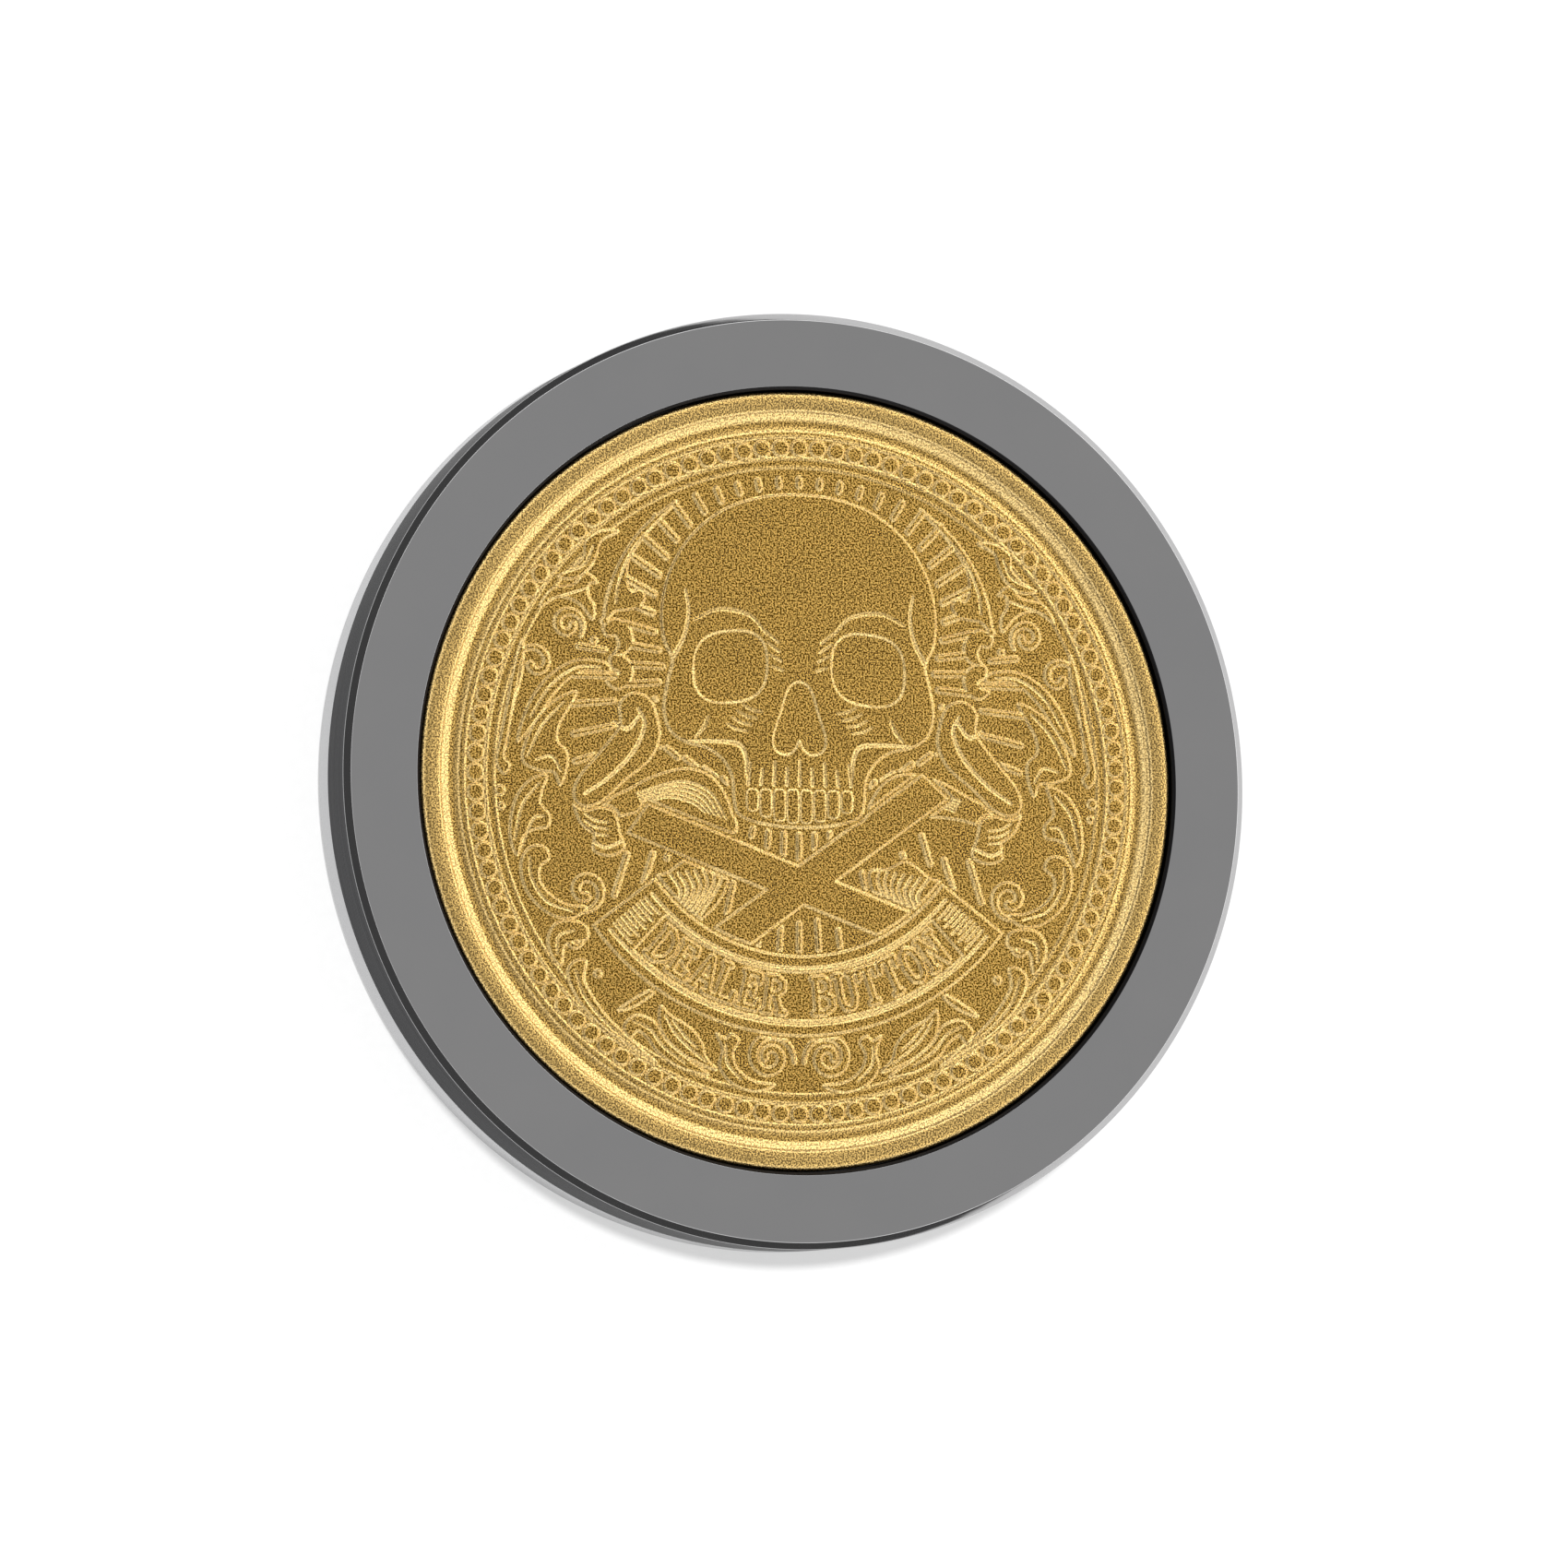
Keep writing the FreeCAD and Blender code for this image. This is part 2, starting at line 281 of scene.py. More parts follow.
def blasted_gold():
    material, tree, place = start_finish("blasted_gold", {"Metallic": 1.0})
    grain = add(tree, "ShaderNodeTexNoise",
                {"noise_dimensions": "2D", "Scale": 1 / (BLAST_GRAIN * MM), "Detail": 1.0},
                {"Vector": place}).outputs["Fac"]
    patch = add(tree, "ShaderNodeTexNoise", {"Scale": 1 / (HANDLED_PATCH * MM), "Detail": 3.0},
                {"Vector": place}).outputs["Fac"]
    sparkle = add(tree, "ShaderNodeMapRange", {"From Min": 0.42, "From Max": 0.58}, {"Value": grain})
    tone = add(tree, "ShaderNodeMix", {"data_type": "RGBA", 6: linear(GOLD_DEEP), 7: linear(GOLD_MAIN)},
               {0: sparkle.outputs["Result"]})
    # Paler gold: a painted highlight on the steep sides and wear on the rim; dark grains take less of it.
    sheen_and_wear = add(tree, "ShaderNodeAttribute", {"attribute_name": "sheen_and_wear"})
    kept = add(tree, "ShaderNodeMapRange", {"From Min": 0.42, "From Max": 0.54, "To Min": 0.4},
               {"Value": grain})
    partly = add(tree, "ShaderNodeMath", {"operation": "MULTIPLY"},
                 {0: sheen_and_wear.outputs["Fac"], 1: kept.outputs["Result"]})
    pale = add(tree, "ShaderNodeMix", {"data_type": "RGBA", 7: linear(GOLD_PALE)},
               {0: partly.outputs["Value"], 6: tone.outputs[2]})
    end_finish(tree, pale.outputs[2], (patch, 0.3, 0.7, 0.26, 0.34), (grain, 1.0, 0.028))
    return material


BLASTED_GOLD = blasted_gold()
print("made", BLASTED_GOLD.name)

# %% [markdown]
# ### What lies inside
#
# The weight is a plain turned steel disc, and a film of acrylic adhesive holds each medallion on
# it. Both are shut inside the button. They keep their solids and get honest finishes of their own,
# so that the button can be shown opened: steel with its turning lines, and a milky film with
# stipple.

# %% Bare steel and adhesive film
FACING_LINE = 0.4       # mm between the lines that facing the weight leaves
STAIN_PATCH = 3.0       # mm across one stain
STIPPLE = 0.8           # mm across one spot of the film's stipple


def bare_steel():
    material, tree, place = start_finish("turned_steel", {"Metallic": 1.0})
    lines = add(tree, "ShaderNodeTexWave",
                {"wave_type": "RINGS", "rings_direction": "Z", "Scale": wave_scale(FACING_LINE),
                 "Distortion": 0.6, "Detail": 2.0}, {"Vector": place}).outputs["Fac"]
    stain = add(tree, "ShaderNodeTexNoise", {"Scale": 1 / (STAIN_PATCH * MM), "Detail": 4.0},
                {"Vector": place}).outputs["Fac"]
    tone = add(tree, "ShaderNodeMix", {"data_type": "RGBA", 6: linear("#77757A"), 7: linear("#A9A7A4")},
               {0: stain})
    end_finish(tree, tone.outputs[2], (stain, 0, 1, 0.28, 0.45), (lines, 0.3, 0.02))
    return material


def adhesive_film():
    material, tree, place = start_finish("acrylic_adhesive", {"IOR": 1.47})
    stipple = add(tree, "ShaderNodeTexNoise", {"Scale": 1 / (STIPPLE * MM), "Detail": 3.0},
                  {"Vector": place}).outputs["Fac"]
    tone = add(tree, "ShaderNodeMix", {"data_type": "RGBA", 6: linear("#D9D4C4"), 7: linear("#EFEBDD")},
               {0: stipple})
    end_finish(tree, tone.outputs[2], (stipple, 0, 1, 0.35, 0.6), (stipple, 0.2, 0.02))
    return material


film = adhesive_film()
for node, material in (("steel_weight", bare_steel()), ("front_adhesive", film), ("rear_adhesive", film)):
    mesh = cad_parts[node].data
    mesh.materials.clear()
    mesh.materials.append(material)
    print(node, "is finished in", material.name)

# %% [markdown]
# ## The two rings
#
# A ring is turned on a lathe, so it is made as a lathe makes it: one half section, carried round
# the axis. The section is a closed list of corners, and a corner may ask to be rounded. 720 steps
# round the axis keep the silhouette smooth even close up.
#
# The section starts at the outer wall and runs over the face, down into the recess and back
# underneath. Each stretch between corners may have its own finish.

# %% Turning a section
STEPS_ROUND = 720
ARC_STEPS = 10


def rounded(before, corner, after, radius):
    """The points of a round that replaces a corner, from the run before it to the run after it."""
    corner = np.array(corner, float)
    to, fro = np.array(before) - corner, np.array(after) - corner
    to, fro = to / np.hypot(*to), fro / np.hypot(*fro)
    half = math.acos(np.clip(to @ fro, -1, 1)) / 2
    centre = corner + (to + fro) / np.hypot(*(to + fro)) * radius / math.sin(half)
    first, last = corner + to * radius / math.tan(half), corner + fro * radius / math.tan(half)
    a, b = (math.atan2(*(p - centre)[::-1]) for p in (first, last))
    sweep = (b - a + math.pi) % (2 * math.pi) - math.pi
    angles = a + sweep * np.linspace(0, 1, ARC_STEPS + 1)
    return [tuple(centre + radius * np.array([math.cos(t), math.sin(t)])) for t in angles]


def turned_section(corners):
    """Points and finishes of a section from corners (radius, height, round, finish of the run after)."""
    points, finishes = [], []
    for i, (r, z, size, finish) in enumerate(corners):
        before, after = corners[i - 1][:2], corners[(i + 1) % len(corners)][:2]
        piece = rounded(before, (r, z), after, size) if size else [(r, z)]
        points += piece
        finishes += [corners[i - 1][3]] * (len(piece) // 2) + [finish] * (len(piece) - len(piece) // 2)
    return points, finishes


def turn(name, corners, materials):
    """A closed ring mesh, turned about Z from its section."""
    points, finishes = turned_section(corners)
    n = len(points)
    section = np.array(points) * MM
    angles = np.linspace(0, 2 * np.pi, STEPS_ROUND, endpoint=False)
    verts = np.stack([np.outer(np.cos(angles), section[:, 0]), np.outer(np.sin(angles), section[:, 0]),
                      np.tile(section[:, 1], (STEPS_ROUND, 1))], axis=2).reshape(-1, 3)
    step, corner = np.meshgrid(np.arange(STEPS_ROUND), np.arange(n), indexing="ij")
    start, end = step * n, (step + 1) % STEPS_ROUND * n
    this, following = corner, (corner + 1) % n
    faces = np.stack([start + this, end + this, end + following, start + following], axis=2).reshape(-1, 4)
    mesh = bpy.data.meshes.new(name)
    mesh.from_pydata(verts, [], faces)
    for material in materials:
        mesh.materials.append(material)
    mesh.polygons.foreach_set("material_index", np.tile(finishes, STEPS_ROUND).astype(np.int32))
    mesh.shade_smooth()
    mesh.set_sharp_from_angle(angle=math.radians(30))
    mesh.update()
    ring = bpy.data.objects.new(name, mesh)
    bpy.context.scene.collection.objects.link(ring)
    print(name, "has", len(faces), "faces")
    return ring


# %% [markdown]
# The front ring is the one that shows. Its face is the wide grey mirror round the medallion. A
# bevel softens the outer edge, and the dark and light lines it mirrors give the rim its weight.
# The mouth of the recess is chamfered. Inside are the ledge that carries the medallion and the
# socket for the other ring.

# %% Front ring
# The wall and recess tones are painted shade, and the rear wall's pale tone is painted light.
FINISHES = [BRIGHT_NICKEL, SHADED_SATIN_NICKEL, SHADED_BORE_NICKEL, PAINTED_LIT_NICKEL]
FACE, WALL, BORE, PALE = range(4)
FILM = 0.15             # the adhesive under the medallion
LEDGE_TOP = DISC_BACK - FILM
LEDGE_UNDER = LEDGE_TOP - LEDGE_THICK
SEAM_BREAK = 0.06       # the fine bevel on each side of the seam
PLAY = 0.02             # between spigot and socket
SOCKET_TOP = SPIGOT_TOP + 2 * PLAY
EDGE_ROUND, FACE_ROUND, MOUTH_ROUND = 0.12, 0.08, 0.05

front_ring = turn("front_ring_turned", [
    (OUTER - SEAM_BREAK, SEAM, 0, WALL),
    (OUTER, SEAM + SEAM_BREAK, 0, WALL),
    (OUTER, TOP - EDGE_DROP, EDGE_ROUND, FACE),
    (OUTER - EDGE_LAND, TOP, FACE_ROUND, FACE),
    (SEAT + MOUTH, TOP, MOUTH_ROUND, BORE),
    (SEAT, TOP - MOUTH, MOUTH_ROUND, BORE),
    (SEAT, LEDGE_TOP, 0, WALL),
    (LEDGE, LEDGE_TOP, 0, WALL),
    (LEDGE, LEDGE_UNDER, 0, WALL),
    (WEIGHT, LEDGE_UNDER, 0, WALL),
    (WEIGHT, SOCKET_TOP, 0, WALL),
    (SPIGOT + PLAY, SOCKET_TOP, 0, WALL),
    (SPIGOT + PLAY, SEAM, 0, WALL),
], FINISHES)
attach(front_ring, "root")
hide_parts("front_ring")

# %% [markdown]
# The rear ring is the same idea turned over, with a spigot that stands up inside the front ring
# and keeps the two in line. Its wall gets a pale tone, painted light, so on the rim it reads as a
# light band beside the painted shade of the front ring's wall.

# %% Rear ring
REAR_LEDGE_UNDER = REAR_BACK + FILM
REAR_LEDGE_TOP = REAR_LEDGE_UNDER + LEDGE_THICK

rear_ring = turn("rear_ring_turned", [
    (OUTER - EDGE_LAND, 0, FACE_ROUND, FACE),
    (OUTER, EDGE_DROP, EDGE_ROUND, PALE),
    (OUTER, SEAM - SEAM_BREAK, 0, PALE),
    (OUTER - SEAM_BREAK, SEAM, 0, WALL),
    (SPIGOT, SEAM, 0, WALL),
    (SPIGOT, SPIGOT_TOP, 0, WALL),
    (WEIGHT, SPIGOT_TOP, 0, WALL),
    (WEIGHT, REAR_LEDGE_TOP, 0, WALL),
    (LEDGE, REAR_LEDGE_TOP, 0, WALL),
    (LEDGE, REAR_LEDGE_UNDER, 0, WALL),
    (SEAT, REAR_LEDGE_UNDER, 0, BORE),
    (SEAT, MOUTH, MOUTH_ROUND, BORE),
    (SEAT + MOUTH, 0, MOUTH_ROUND, FACE),
], FINISHES)
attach(rear_ring, "root")
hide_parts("rear_ring")

# %% [markdown]
# ## The picture as a height map
#
# A medallion like this is struck from a die: the picture stands up from a flat field by about a
# tenth of a millimetre, and each shape ends in a short smooth slope. Light catches only the slopes,
# so what the eye sees is a drawing in thin bright lines. The way to make that is a height map: a
# grid of points over the disc, each with a height, and a pen that raises or cuts the height
# wherever a point lies inside a shape.

# %% The die
FRONT_CELLS, REAR_CELLS = 840, 440     # grid cells across a medallion, front and rear
RIM_HEIGHT = 0.40                      # mm, the rim above the field
RELIEF = 0.13                          # mm, the picture above the field
SLOPE = 0.15                           # mm, width of the slope along an edge
STEEPEST = 0.6                         # rise over run of a side that gets the full painted highlight
RIM_INSIDE, RIM_WEAR = 23.7, 0.35      # where the rim starts, and how much handling wear pales it all over


class Die:
    """The height of a struck face at every point of a disc, in mm above the field."""

    def __init__(self, x, y):
        self.x, self.y = x, y
        self.height = np.zeros_like(x)

    def steepness(self, n):
        """Paler gold to paint: 0 on the flats, 1 on the steepest sides as a painted highlight, the rim's
        wear on the rim.
        """
        x, y, h = (v.reshape(n, n) for v in (self.x, self.y, self.height))
        (xa, xb), (ya, yb), (ha, hb) = [np.gradient(v) for v in (x, y, h)]
        cell = np.abs(xa * yb - xb * ya) + 1e-9
        slope = np.hypot(ha * yb - hb * ya, hb * xa - ha * xb) / cell
        worn = np.where(np.hypot(x, y) > RIM_INSIDE, RIM_WEAR, 0)
        return np.maximum(np.clip(slope / STEEPEST, 0, 1), worn).ravel()

    def near(self, points, margin):
        """Indices of the points of the grid that a shape can reach."""
        low, high = points.min(axis=0) - margin, points.max(axis=0) + margin
        across = (self.x > low[0]) & (self.x < high[0])
        return np.nonzero(across & (self.y > low[1]) & (self.y < high[1]))[0]


print(f"points on the front die are {2 * DISC / FRONT_CELLS:.3f} mm apart")

# %% [markdown]
# How far a point lies from a shape decides its height. `line_distance` measures to a pen stroke
# that may swell and taper, `area_distance` to a closed outline, and both are negative inside. `ramp`
# turns the distance into a height from 0 to 1 with a soft shoulder at top and bottom, as metal has
# when it flows into a die.

# %% Distances
def ramp(distance, slope):
    """1 inside a shape, 0 outside, with a smooth slope centred on its outline."""
    t = np.clip(0.5 - distance / slope, 0, 1)
    return t * t * (3 - 2 * t)


def line_distance(px, py, points, widths):
    """Distance from each point to a stroke of varying half width: negative inside."""
    best = np.full(px.shape, 1e9)
    for (ax, ay), (bx, by), wa, wb in zip(points[:-1], points[1:], widths[:-1], widths[1:]):
        dx, dy = bx - ax, by - ay
        length = dx * dx + dy * dy
        t = np.clip(((px - ax) * dx + (py - ay) * dy) / max(length, 1e-12), 0, 1)
        best = np.minimum(best, np.hypot(px - ax - t * dx, py - ay - t * dy) - (wa + (wb - wa) * t))
    return best


def area_distance(px, py, points):
    """Distance from each point to a closed outline: negative inside."""
    inside = np.zeros(px.shape, bool)
    closed = np.vstack([points, points[:1]])
    for (ax, ay), (bx, by) in zip(closed[:-1], closed[1:]):
        if ay != by:
            crosses = (ay > py) != (by > py)
            inside ^= crosses & (px < (bx - ax) * (py - ay) / (by - ay) + ax)
    edge = line_distance(px, py, closed, np.zeros(len(closed)))
    return np.where(inside, -edge, edge)


print("half way up a slope is", ramp(0.0, SLOPE), "and a millimetre inside is", ramp(-1.0, SLOPE))

# %% [markdown]
# Outlines are drawn through a few points and rounded between them with a Catmull-Rom curve,
# which passes through every point it is given. Scrolls are spirals that tighten as they turn. One
# side of the picture is drawn and the other mirrors it.

# %% Curves
def smooth(points, closed=False, steps=8):
    """A Catmull-Rom curve through given points."""
    p = np.asarray(points, float)
    if closed:
        p = np.vstack([p[-1:], p, p[:2]])
    else:
        p = np.vstack([2 * p[0] - p[1], p, 2 * p[-1] - p[-2]])
    out = []
    for a, b, c, d in zip(p[:-3], p[1:-2], p[2:-1], p[3:]):
        for t in np.arange(steps) / steps:
            out.append(0.5 * (2 * b + (c - a) * t + (2 * a - 5 * b + 4 * c - d) * t * t
                              + (3 * b - a - 3 * c + d) * t ** 3))
    if not closed:
        out.append(p[-2])
    return np.array(out)


def spiral(cx, cy, outer, inner, start, turn, count=40):
    t = np.linspace(0, 1, count)
    a = np.radians(start + turn * t)
    r = outer + (inner - outer) * t ** 0.8
    return np.stack([cx + r * np.cos(a), cy + r * np.sin(a)], axis=1)


def mirrored(points):
    return np.asarray(points) * (-1, 1)


print("a spiral of one turn has", len(spiral(0, 0, 1, 0.3, 0, 360)), "points")

# %% [markdown]
# Two pens do all the drawing: `lift` raises the height and `cut` lowers it. Given half widths, a
# pen draws a stroke that swells and tapers between them. Given none, it fills a closed outline. A
# shape that lies over others first levels a narrow moat round itself, so its edge stays clear where
# a leaf or a ray passes under it. Die cutters do the same.

# %% Pens
def measure(die, points, marks, margin):
    """The points of the die near a shape, and how far each lies from it."""
    points = np.asarray(points, float)
    i = die.near(points, margin + max(marks, default=0))
    if not marks:
        return i, area_distance(die.x[i], die.y[i], points)
    along = np.linspace(0, 1, len(points))
    widths = np.interp(along, np.linspace(0, 1, len(marks)), marks)
    return i, line_distance(die.x[i], die.y[i], points, widths)


def lift(die, points, *marks, height=RELIEF, slope=SLOPE, moat=0):
    i, distance = measure(die, points, marks, slope + moat)
    if moat:
        die.height[i] *= 1 - ramp(distance - moat, slope)
    rise = ramp(distance, slope)
    die.height[i] = np.where(rise > 0, np.maximum(die.height[i], height * rise), die.height[i])


def cut(die, points, *marks, depth=0.09, slope=0.16):
    i, distance = measure(die, points, marks, slope)
    die.height[i] -= depth * ramp(distance, slope)


def both_sides(pen, die, points, *marks, **how):
    pen(die, points, *marks, **how)
    pen(die, mirrored(points), *marks, **how)


print("pens ready, with slopes", SLOPE, "mm wide")

# %% [markdown]
# ### Rim and beads
#
# The rim is round, so its shape is one curve of height against radius: a flat band that the
# medallion stands on when it is stacked, a slope, a shallow ditch, and a few fine ridges. Between
# the ridges runs a border of 108 round beads that just touch.

# %% Rim and beads
BEADS, BEAD_CIRCLE, BEAD = 108, 21.36, 0.53     # how many, radius of their circle, radius of one


def rim_profile(r):
    """The round part of the die: rounded rim, inner slope, ditch, step and fine lines."""
    steps = [(0, 0.0), (20.02, 0.0), (20.14, 0.06), (20.24, 0.03), (20.58, 0.03), (20.70, 0.08),
             (20.82, 0.0), (21.98, 0.0), (22.10, 0.07), (22.22, 0.03), (22.40, 0.03), (22.52, -0.04),
             (22.80, -0.09), (23.1, -0.07), (23.28, 0.0), (23.42, 0.10), (23.52, 0.14), (23.60, 0.17),
             (23.72, 0.30), (23.82, 0.35), (24.1, 0.375), (24.4, 0.385), (24.6, 0.37), (24.75, 0.33),
             (24.88, 0.25), (24.96, 0.14), (25.0, 0.0)]
    radii, heights = np.array(steps).T
    return np.interp(r, radii, heights)


def draw_border(die):
    r = np.hypot(die.x, die.y)
    die.height = rim_profile(r)
    pitch = 2 * np.pi / BEADS
    a = (np.arctan2(die.y, die.x) + pitch / 2) % pitch - pitch / 2
    d = np.hypot(r * np.cos(a) - BEAD_CIRCLE, r * np.sin(a)) - BEAD
    die.height = np.where(np.abs(r - BEAD_CIRCLE) < 0.8,
                          np.maximum(die.height, RELIEF * ramp(d, SLOPE)), die.height)


print("beads take up", round(BEADS * BEAD / (math.pi * BEAD_CIRCLE) * 100), "% of their circle")

# %% [markdown]
# ### Skull and rays
#
# The skull is the die cutter's usual one and nobody's in particular: a dome, cheekbones that step
# in below the sockets, and an upper jaw. Half its outline is drawn and the other half mirrored. The
# rays fan out behind it from one centre, 57 to the circle, and each starts where it clears the
# outline. More rays stand beside the skull and under the boards.

# %% Skull outline
SKULL_HALF = [(0, 18.35), (2.6, 18.1), (5.1, 17.2), (7.2, 15.5), (8.6, 13.2), (9.15, 10.8), (9.0, 8.8),
              (8.45, 7.5), (8.75, 6.1), (9.0, 4.4), (8.6, 3.0), (7.5, 2.25), (6.1, 1.9), (5.0, 1.1),
              (4.45, 0.0), (4.35, -1.3), (4.0, -2.3), (2.4, -2.85), (0, -3.05)]


def skull_outline():
    left = mirrored(SKULL_HALF[1:-1])[::-1]
    return smooth(np.vstack([SKULL_HALF, left]), closed=True, steps=6)


print("the skull is", round(np.ptp(skull_outline()[:, 0]), 1), "mm wide")

# %% Rays
RAYS, RAY_CENTRE, RAY_LENGTH = 57, np.array([0.0, 6.8]), 2.0
LOWEST_RAY = -0.28      # rays that point further down than this are left out
INSIDE_BORDER = 19.35
SIDE_RAYS = [           # height, inner and outer end, how far the outer end drops
    (6.35, 12.1, 14.9, 0.0), (4.75, 12.3, 15.0, 0.25), (3.15, 12.4, 14.9, 0.55), (1.65, 12.4, 14.8, 0.8),
    (8.0, 12.9, 14.6, -0.2)]
LOW_RAYS = [            # place, top and bottom
    (9.7, -4.9, -8.0), (11.4, -5.0, -7.6), (8.2, -3.4, -5.2), (4.2, -5.9, -8.6), (3.0, -7.6, -8.4),
    (1.2, -9.0, -11.4), (2.6, -9.6, -11.2), (6.9, -4.6, -6.0)]


def draw_rays(die):
    """A sunburst of short bars behind everything, from the skull outwards."""
    outline = skull_outline()
    reach = np.arange(4, 18, 0.05)
    for k in range(RAYS):
        angle = math.radians(90 + k * 360 / RAYS)
        way = np.array([math.cos(angle), math.sin(angle)])
        if way[1] < LOWEST_RAY:
            continue
        track = RAY_CENTRE + reach[:, None] * way
        near = area_distance(track[:, 0], track[:, 1], outline) < 0.6
        start = reach[np.nonzero(near)[0].max()]
        end = min(start + RAY_LENGTH, reach[np.hypot(*track.T) < INSIDE_BORDER].max())
        lift(die, [RAY_CENTRE + start * way, RAY_CENTRE + end * way], 0.17)
    for y, inner, outer, drop in SIDE_RAYS:
        both_sides(lift, die, [(inner, y), (outer, y - drop)], 0.14, 0.16)
    for x, top, bottom in LOW_RAYS:
        lean = 0.32 * min(1, x / 6)
        both_sides(lift, die, [(x, top), (x + lean * (top - bottom), bottom)], 0.15)
    lift(die, [(0, -9.2), (0, -11.4)], 0.15)
    for k in range(5):
        x, y = 9.3 - 1.25 * k, 1.9 - 0.62 * k
        both_sides(lift, die, [(x, y), (x + 0.75, y + 0.55)], 0.15)
    for k, length in enumerate([0.5, 1.2, 1.7, 1.9, 1.7, 1.2, 0.5]):
        x = (k - 3) * 1.02
        top = -3.45 + 0.09 * abs(k - 3)
        lift(die, [(x, top), (x * 1.04, top - length * 0.85)], 0.15)


print("short rays on one side:", len(SIDE_RAYS + LOW_RAYS))

# %% [markdown]
# The features are cut into the dome. The sockets are rounded squares, made by raising the sine
# and cosine of a circle to a power. The nose is an upside-down heart. The roots of the teeth are
# cut lines and their crowns small raised blocks, and short hatch lines model the cheeks.

# %% Skull features
SQUARENESS = 2.7        # 2 would be a circle
FACE_LINES = [          # brow, temple, cheek and cheekbone: points, half widths, depth
    ([(2.2, 9.3), (3.4, 10.5), (5.4, 10.8), (7.0, 10.1)], (0.02, 0.07, 0.02), 0.06),
    ([(8.4, 7.7), (7.7, 9.0), (7.4, 10.6), (7.6, 12.0)], (0.09, 0.06, 0.02), 0.09),
    ([(7.4, 2.3), (5.6, 2.35), (4.1, 2.2), (3.6, 1.4), (3.5, 0.2)], (0.03, 0.09, 0.03), 0.09),
    ([(6.1, 3.9), (6.4, 3.2), (6.9, 2.6)], (0.03, 0.07, 0.03), 0.06),
]
NOSE = [(0, 6.3), (0.75, 5.8), (1.25, 4.3), (1.75, 2.7), (1.55, 1.85), (0.8, 1.6), (0.25, 2.0), (0, 2.5)]


def draw_skull(die):
    lift(die, skull_outline(), moat=0.34)
    t = np.linspace(0, 2 * np.pi, 40, endpoint=False)
    c, s = np.cos(t), np.sin(t)
    square = (np.abs(c) ** SQUARENESS + np.abs(s) ** SQUARENESS) ** (-1 / SQUARENESS)
    socket = np.stack([4.6 + 2.45 * square * c, 7.15 + 2.3 * square * s - 0.25 * c], axis=1)
    both_sides(cut, die, socket, depth=0.10, slope=SLOPE)
    low = (t > np.pi * 1.25) & (t < np.pi * 1.95)
    lid = np.stack([4.6 - 2.02 * (square * c)[low], 7.15 + 1.9 * (square * s)[low] + 0.2 * c[low]], axis=1)
    both_sides(lift, die, lid, 0.02, 0.05, 0.02, height=0.04, slope=0.14)
    for points, marks, depth in FACE_LINES:
        both_sides(cut, die, smooth(points), *marks, depth=depth)
    for k in range(4):
        x, y = 2.5 + 0.35 * k, 4.3 - 0.42 * k
        hatch = smooth([(x, y), (x + 0.7, y + 0.12), (x + 1.3, y + 0.45)])
        both_sides(cut, die, hatch, 0.02, 0.05, 0.02, depth=0.05, slope=0.12)
        fan = [(1.15 + 0.1 * k, 7.0 + 0.6 * k), (1.85 + 0.15 * k, 7.25 + 0.75 * k)]
        both_sides(cut, die, fan, 0.05, 0.02, depth=0.05, slope=0.12)
    nose = smooth(np.vstack([NOSE, mirrored(NOSE[1:-1])[::-1]]), closed=True)
    cut(die, nose, depth=0.10, slope=SLOPE)


print("lines on one side of the face:", len(FACE_LINES) + 4 + 4)

# %% Teeth
ROOTS, ROOT_PITCH = 9, 0.86
CROWNS, CROWN_PITCH = 8, 0.9


def draw_teeth(die):
    for k in np.arange(ROOTS) - ROOTS // 2:
        x = k * ROOT_PITCH
        top = 1.25 - (0.45 if k % 2 else 0) - 0.06 * abs(k)
        cut(die, [(x * 0.96, top), (x, -0.35)], 0.02, 0.05)
    for k in np.arange(CROWNS) - (CROWNS - 1) / 2:
        x = k * CROWN_PITCH
        foot = -2.78 + 0.06 * k ** 2
        crown = [(x - 0.38, -0.8), (x, -0.62), (x + 0.38, -0.8), (x + 0.4, foot + 0.35), (x + 0.25, foot),
                 (x - 0.25, foot), (x - 0.4, foot + 0.35)]
        lift(die, smooth(crown, closed=True, steps=3), height=RELIEF + 0.06, slope=0.12)


print("the jaw has", ROOTS, "roots and", CROWNS, "crowns")

# %% [markdown]
# ### Crossed boards and banner
#
# Two plain boards cross under the skull, and a banner bends round under them. Both boards level
# their moat first and are raised afterwards, so neither cuts the other. Points on the banner are
# given by a radius and an angle from its centre, so letters set along it bend with it.

# %% Boards
BOARDS = [((-1.9, -6.0), -20.5, 9.7), ((1.7, -5.6), 36.0, 8.9)]     # middle, tilt, half length
BOARD_HALF_WIDTH = 1.1


def draw_boards(die):
    outlines = []
    for mid, tilt, half in BOARDS:
        a = math.radians(tilt)
        way = np.array([math.cos(a), math.sin(a)])
        off = np.array([-math.sin(a), math.cos(a)]) * BOARD_HALF_WIDTH
        outlines.append([mid + way * half + off, mid + way * (half + 0.5) - off,
                         mid - way * half - off, mid - way * (half - 0.6) + off])
    for outline in outlines:
        lift(die, outline, moat=0.3)
    for outline in outlines:
        lift(die, outline)


print("boards cross at", BOARDS[1][1] - BOARDS[0][1], "degrees")

# %% [markdown]
# The letters are strokes on a body one wide and one high, with the small end bars of a slab
# serif. Only the letters the banner needs are cut, and the words only say what the thing is.

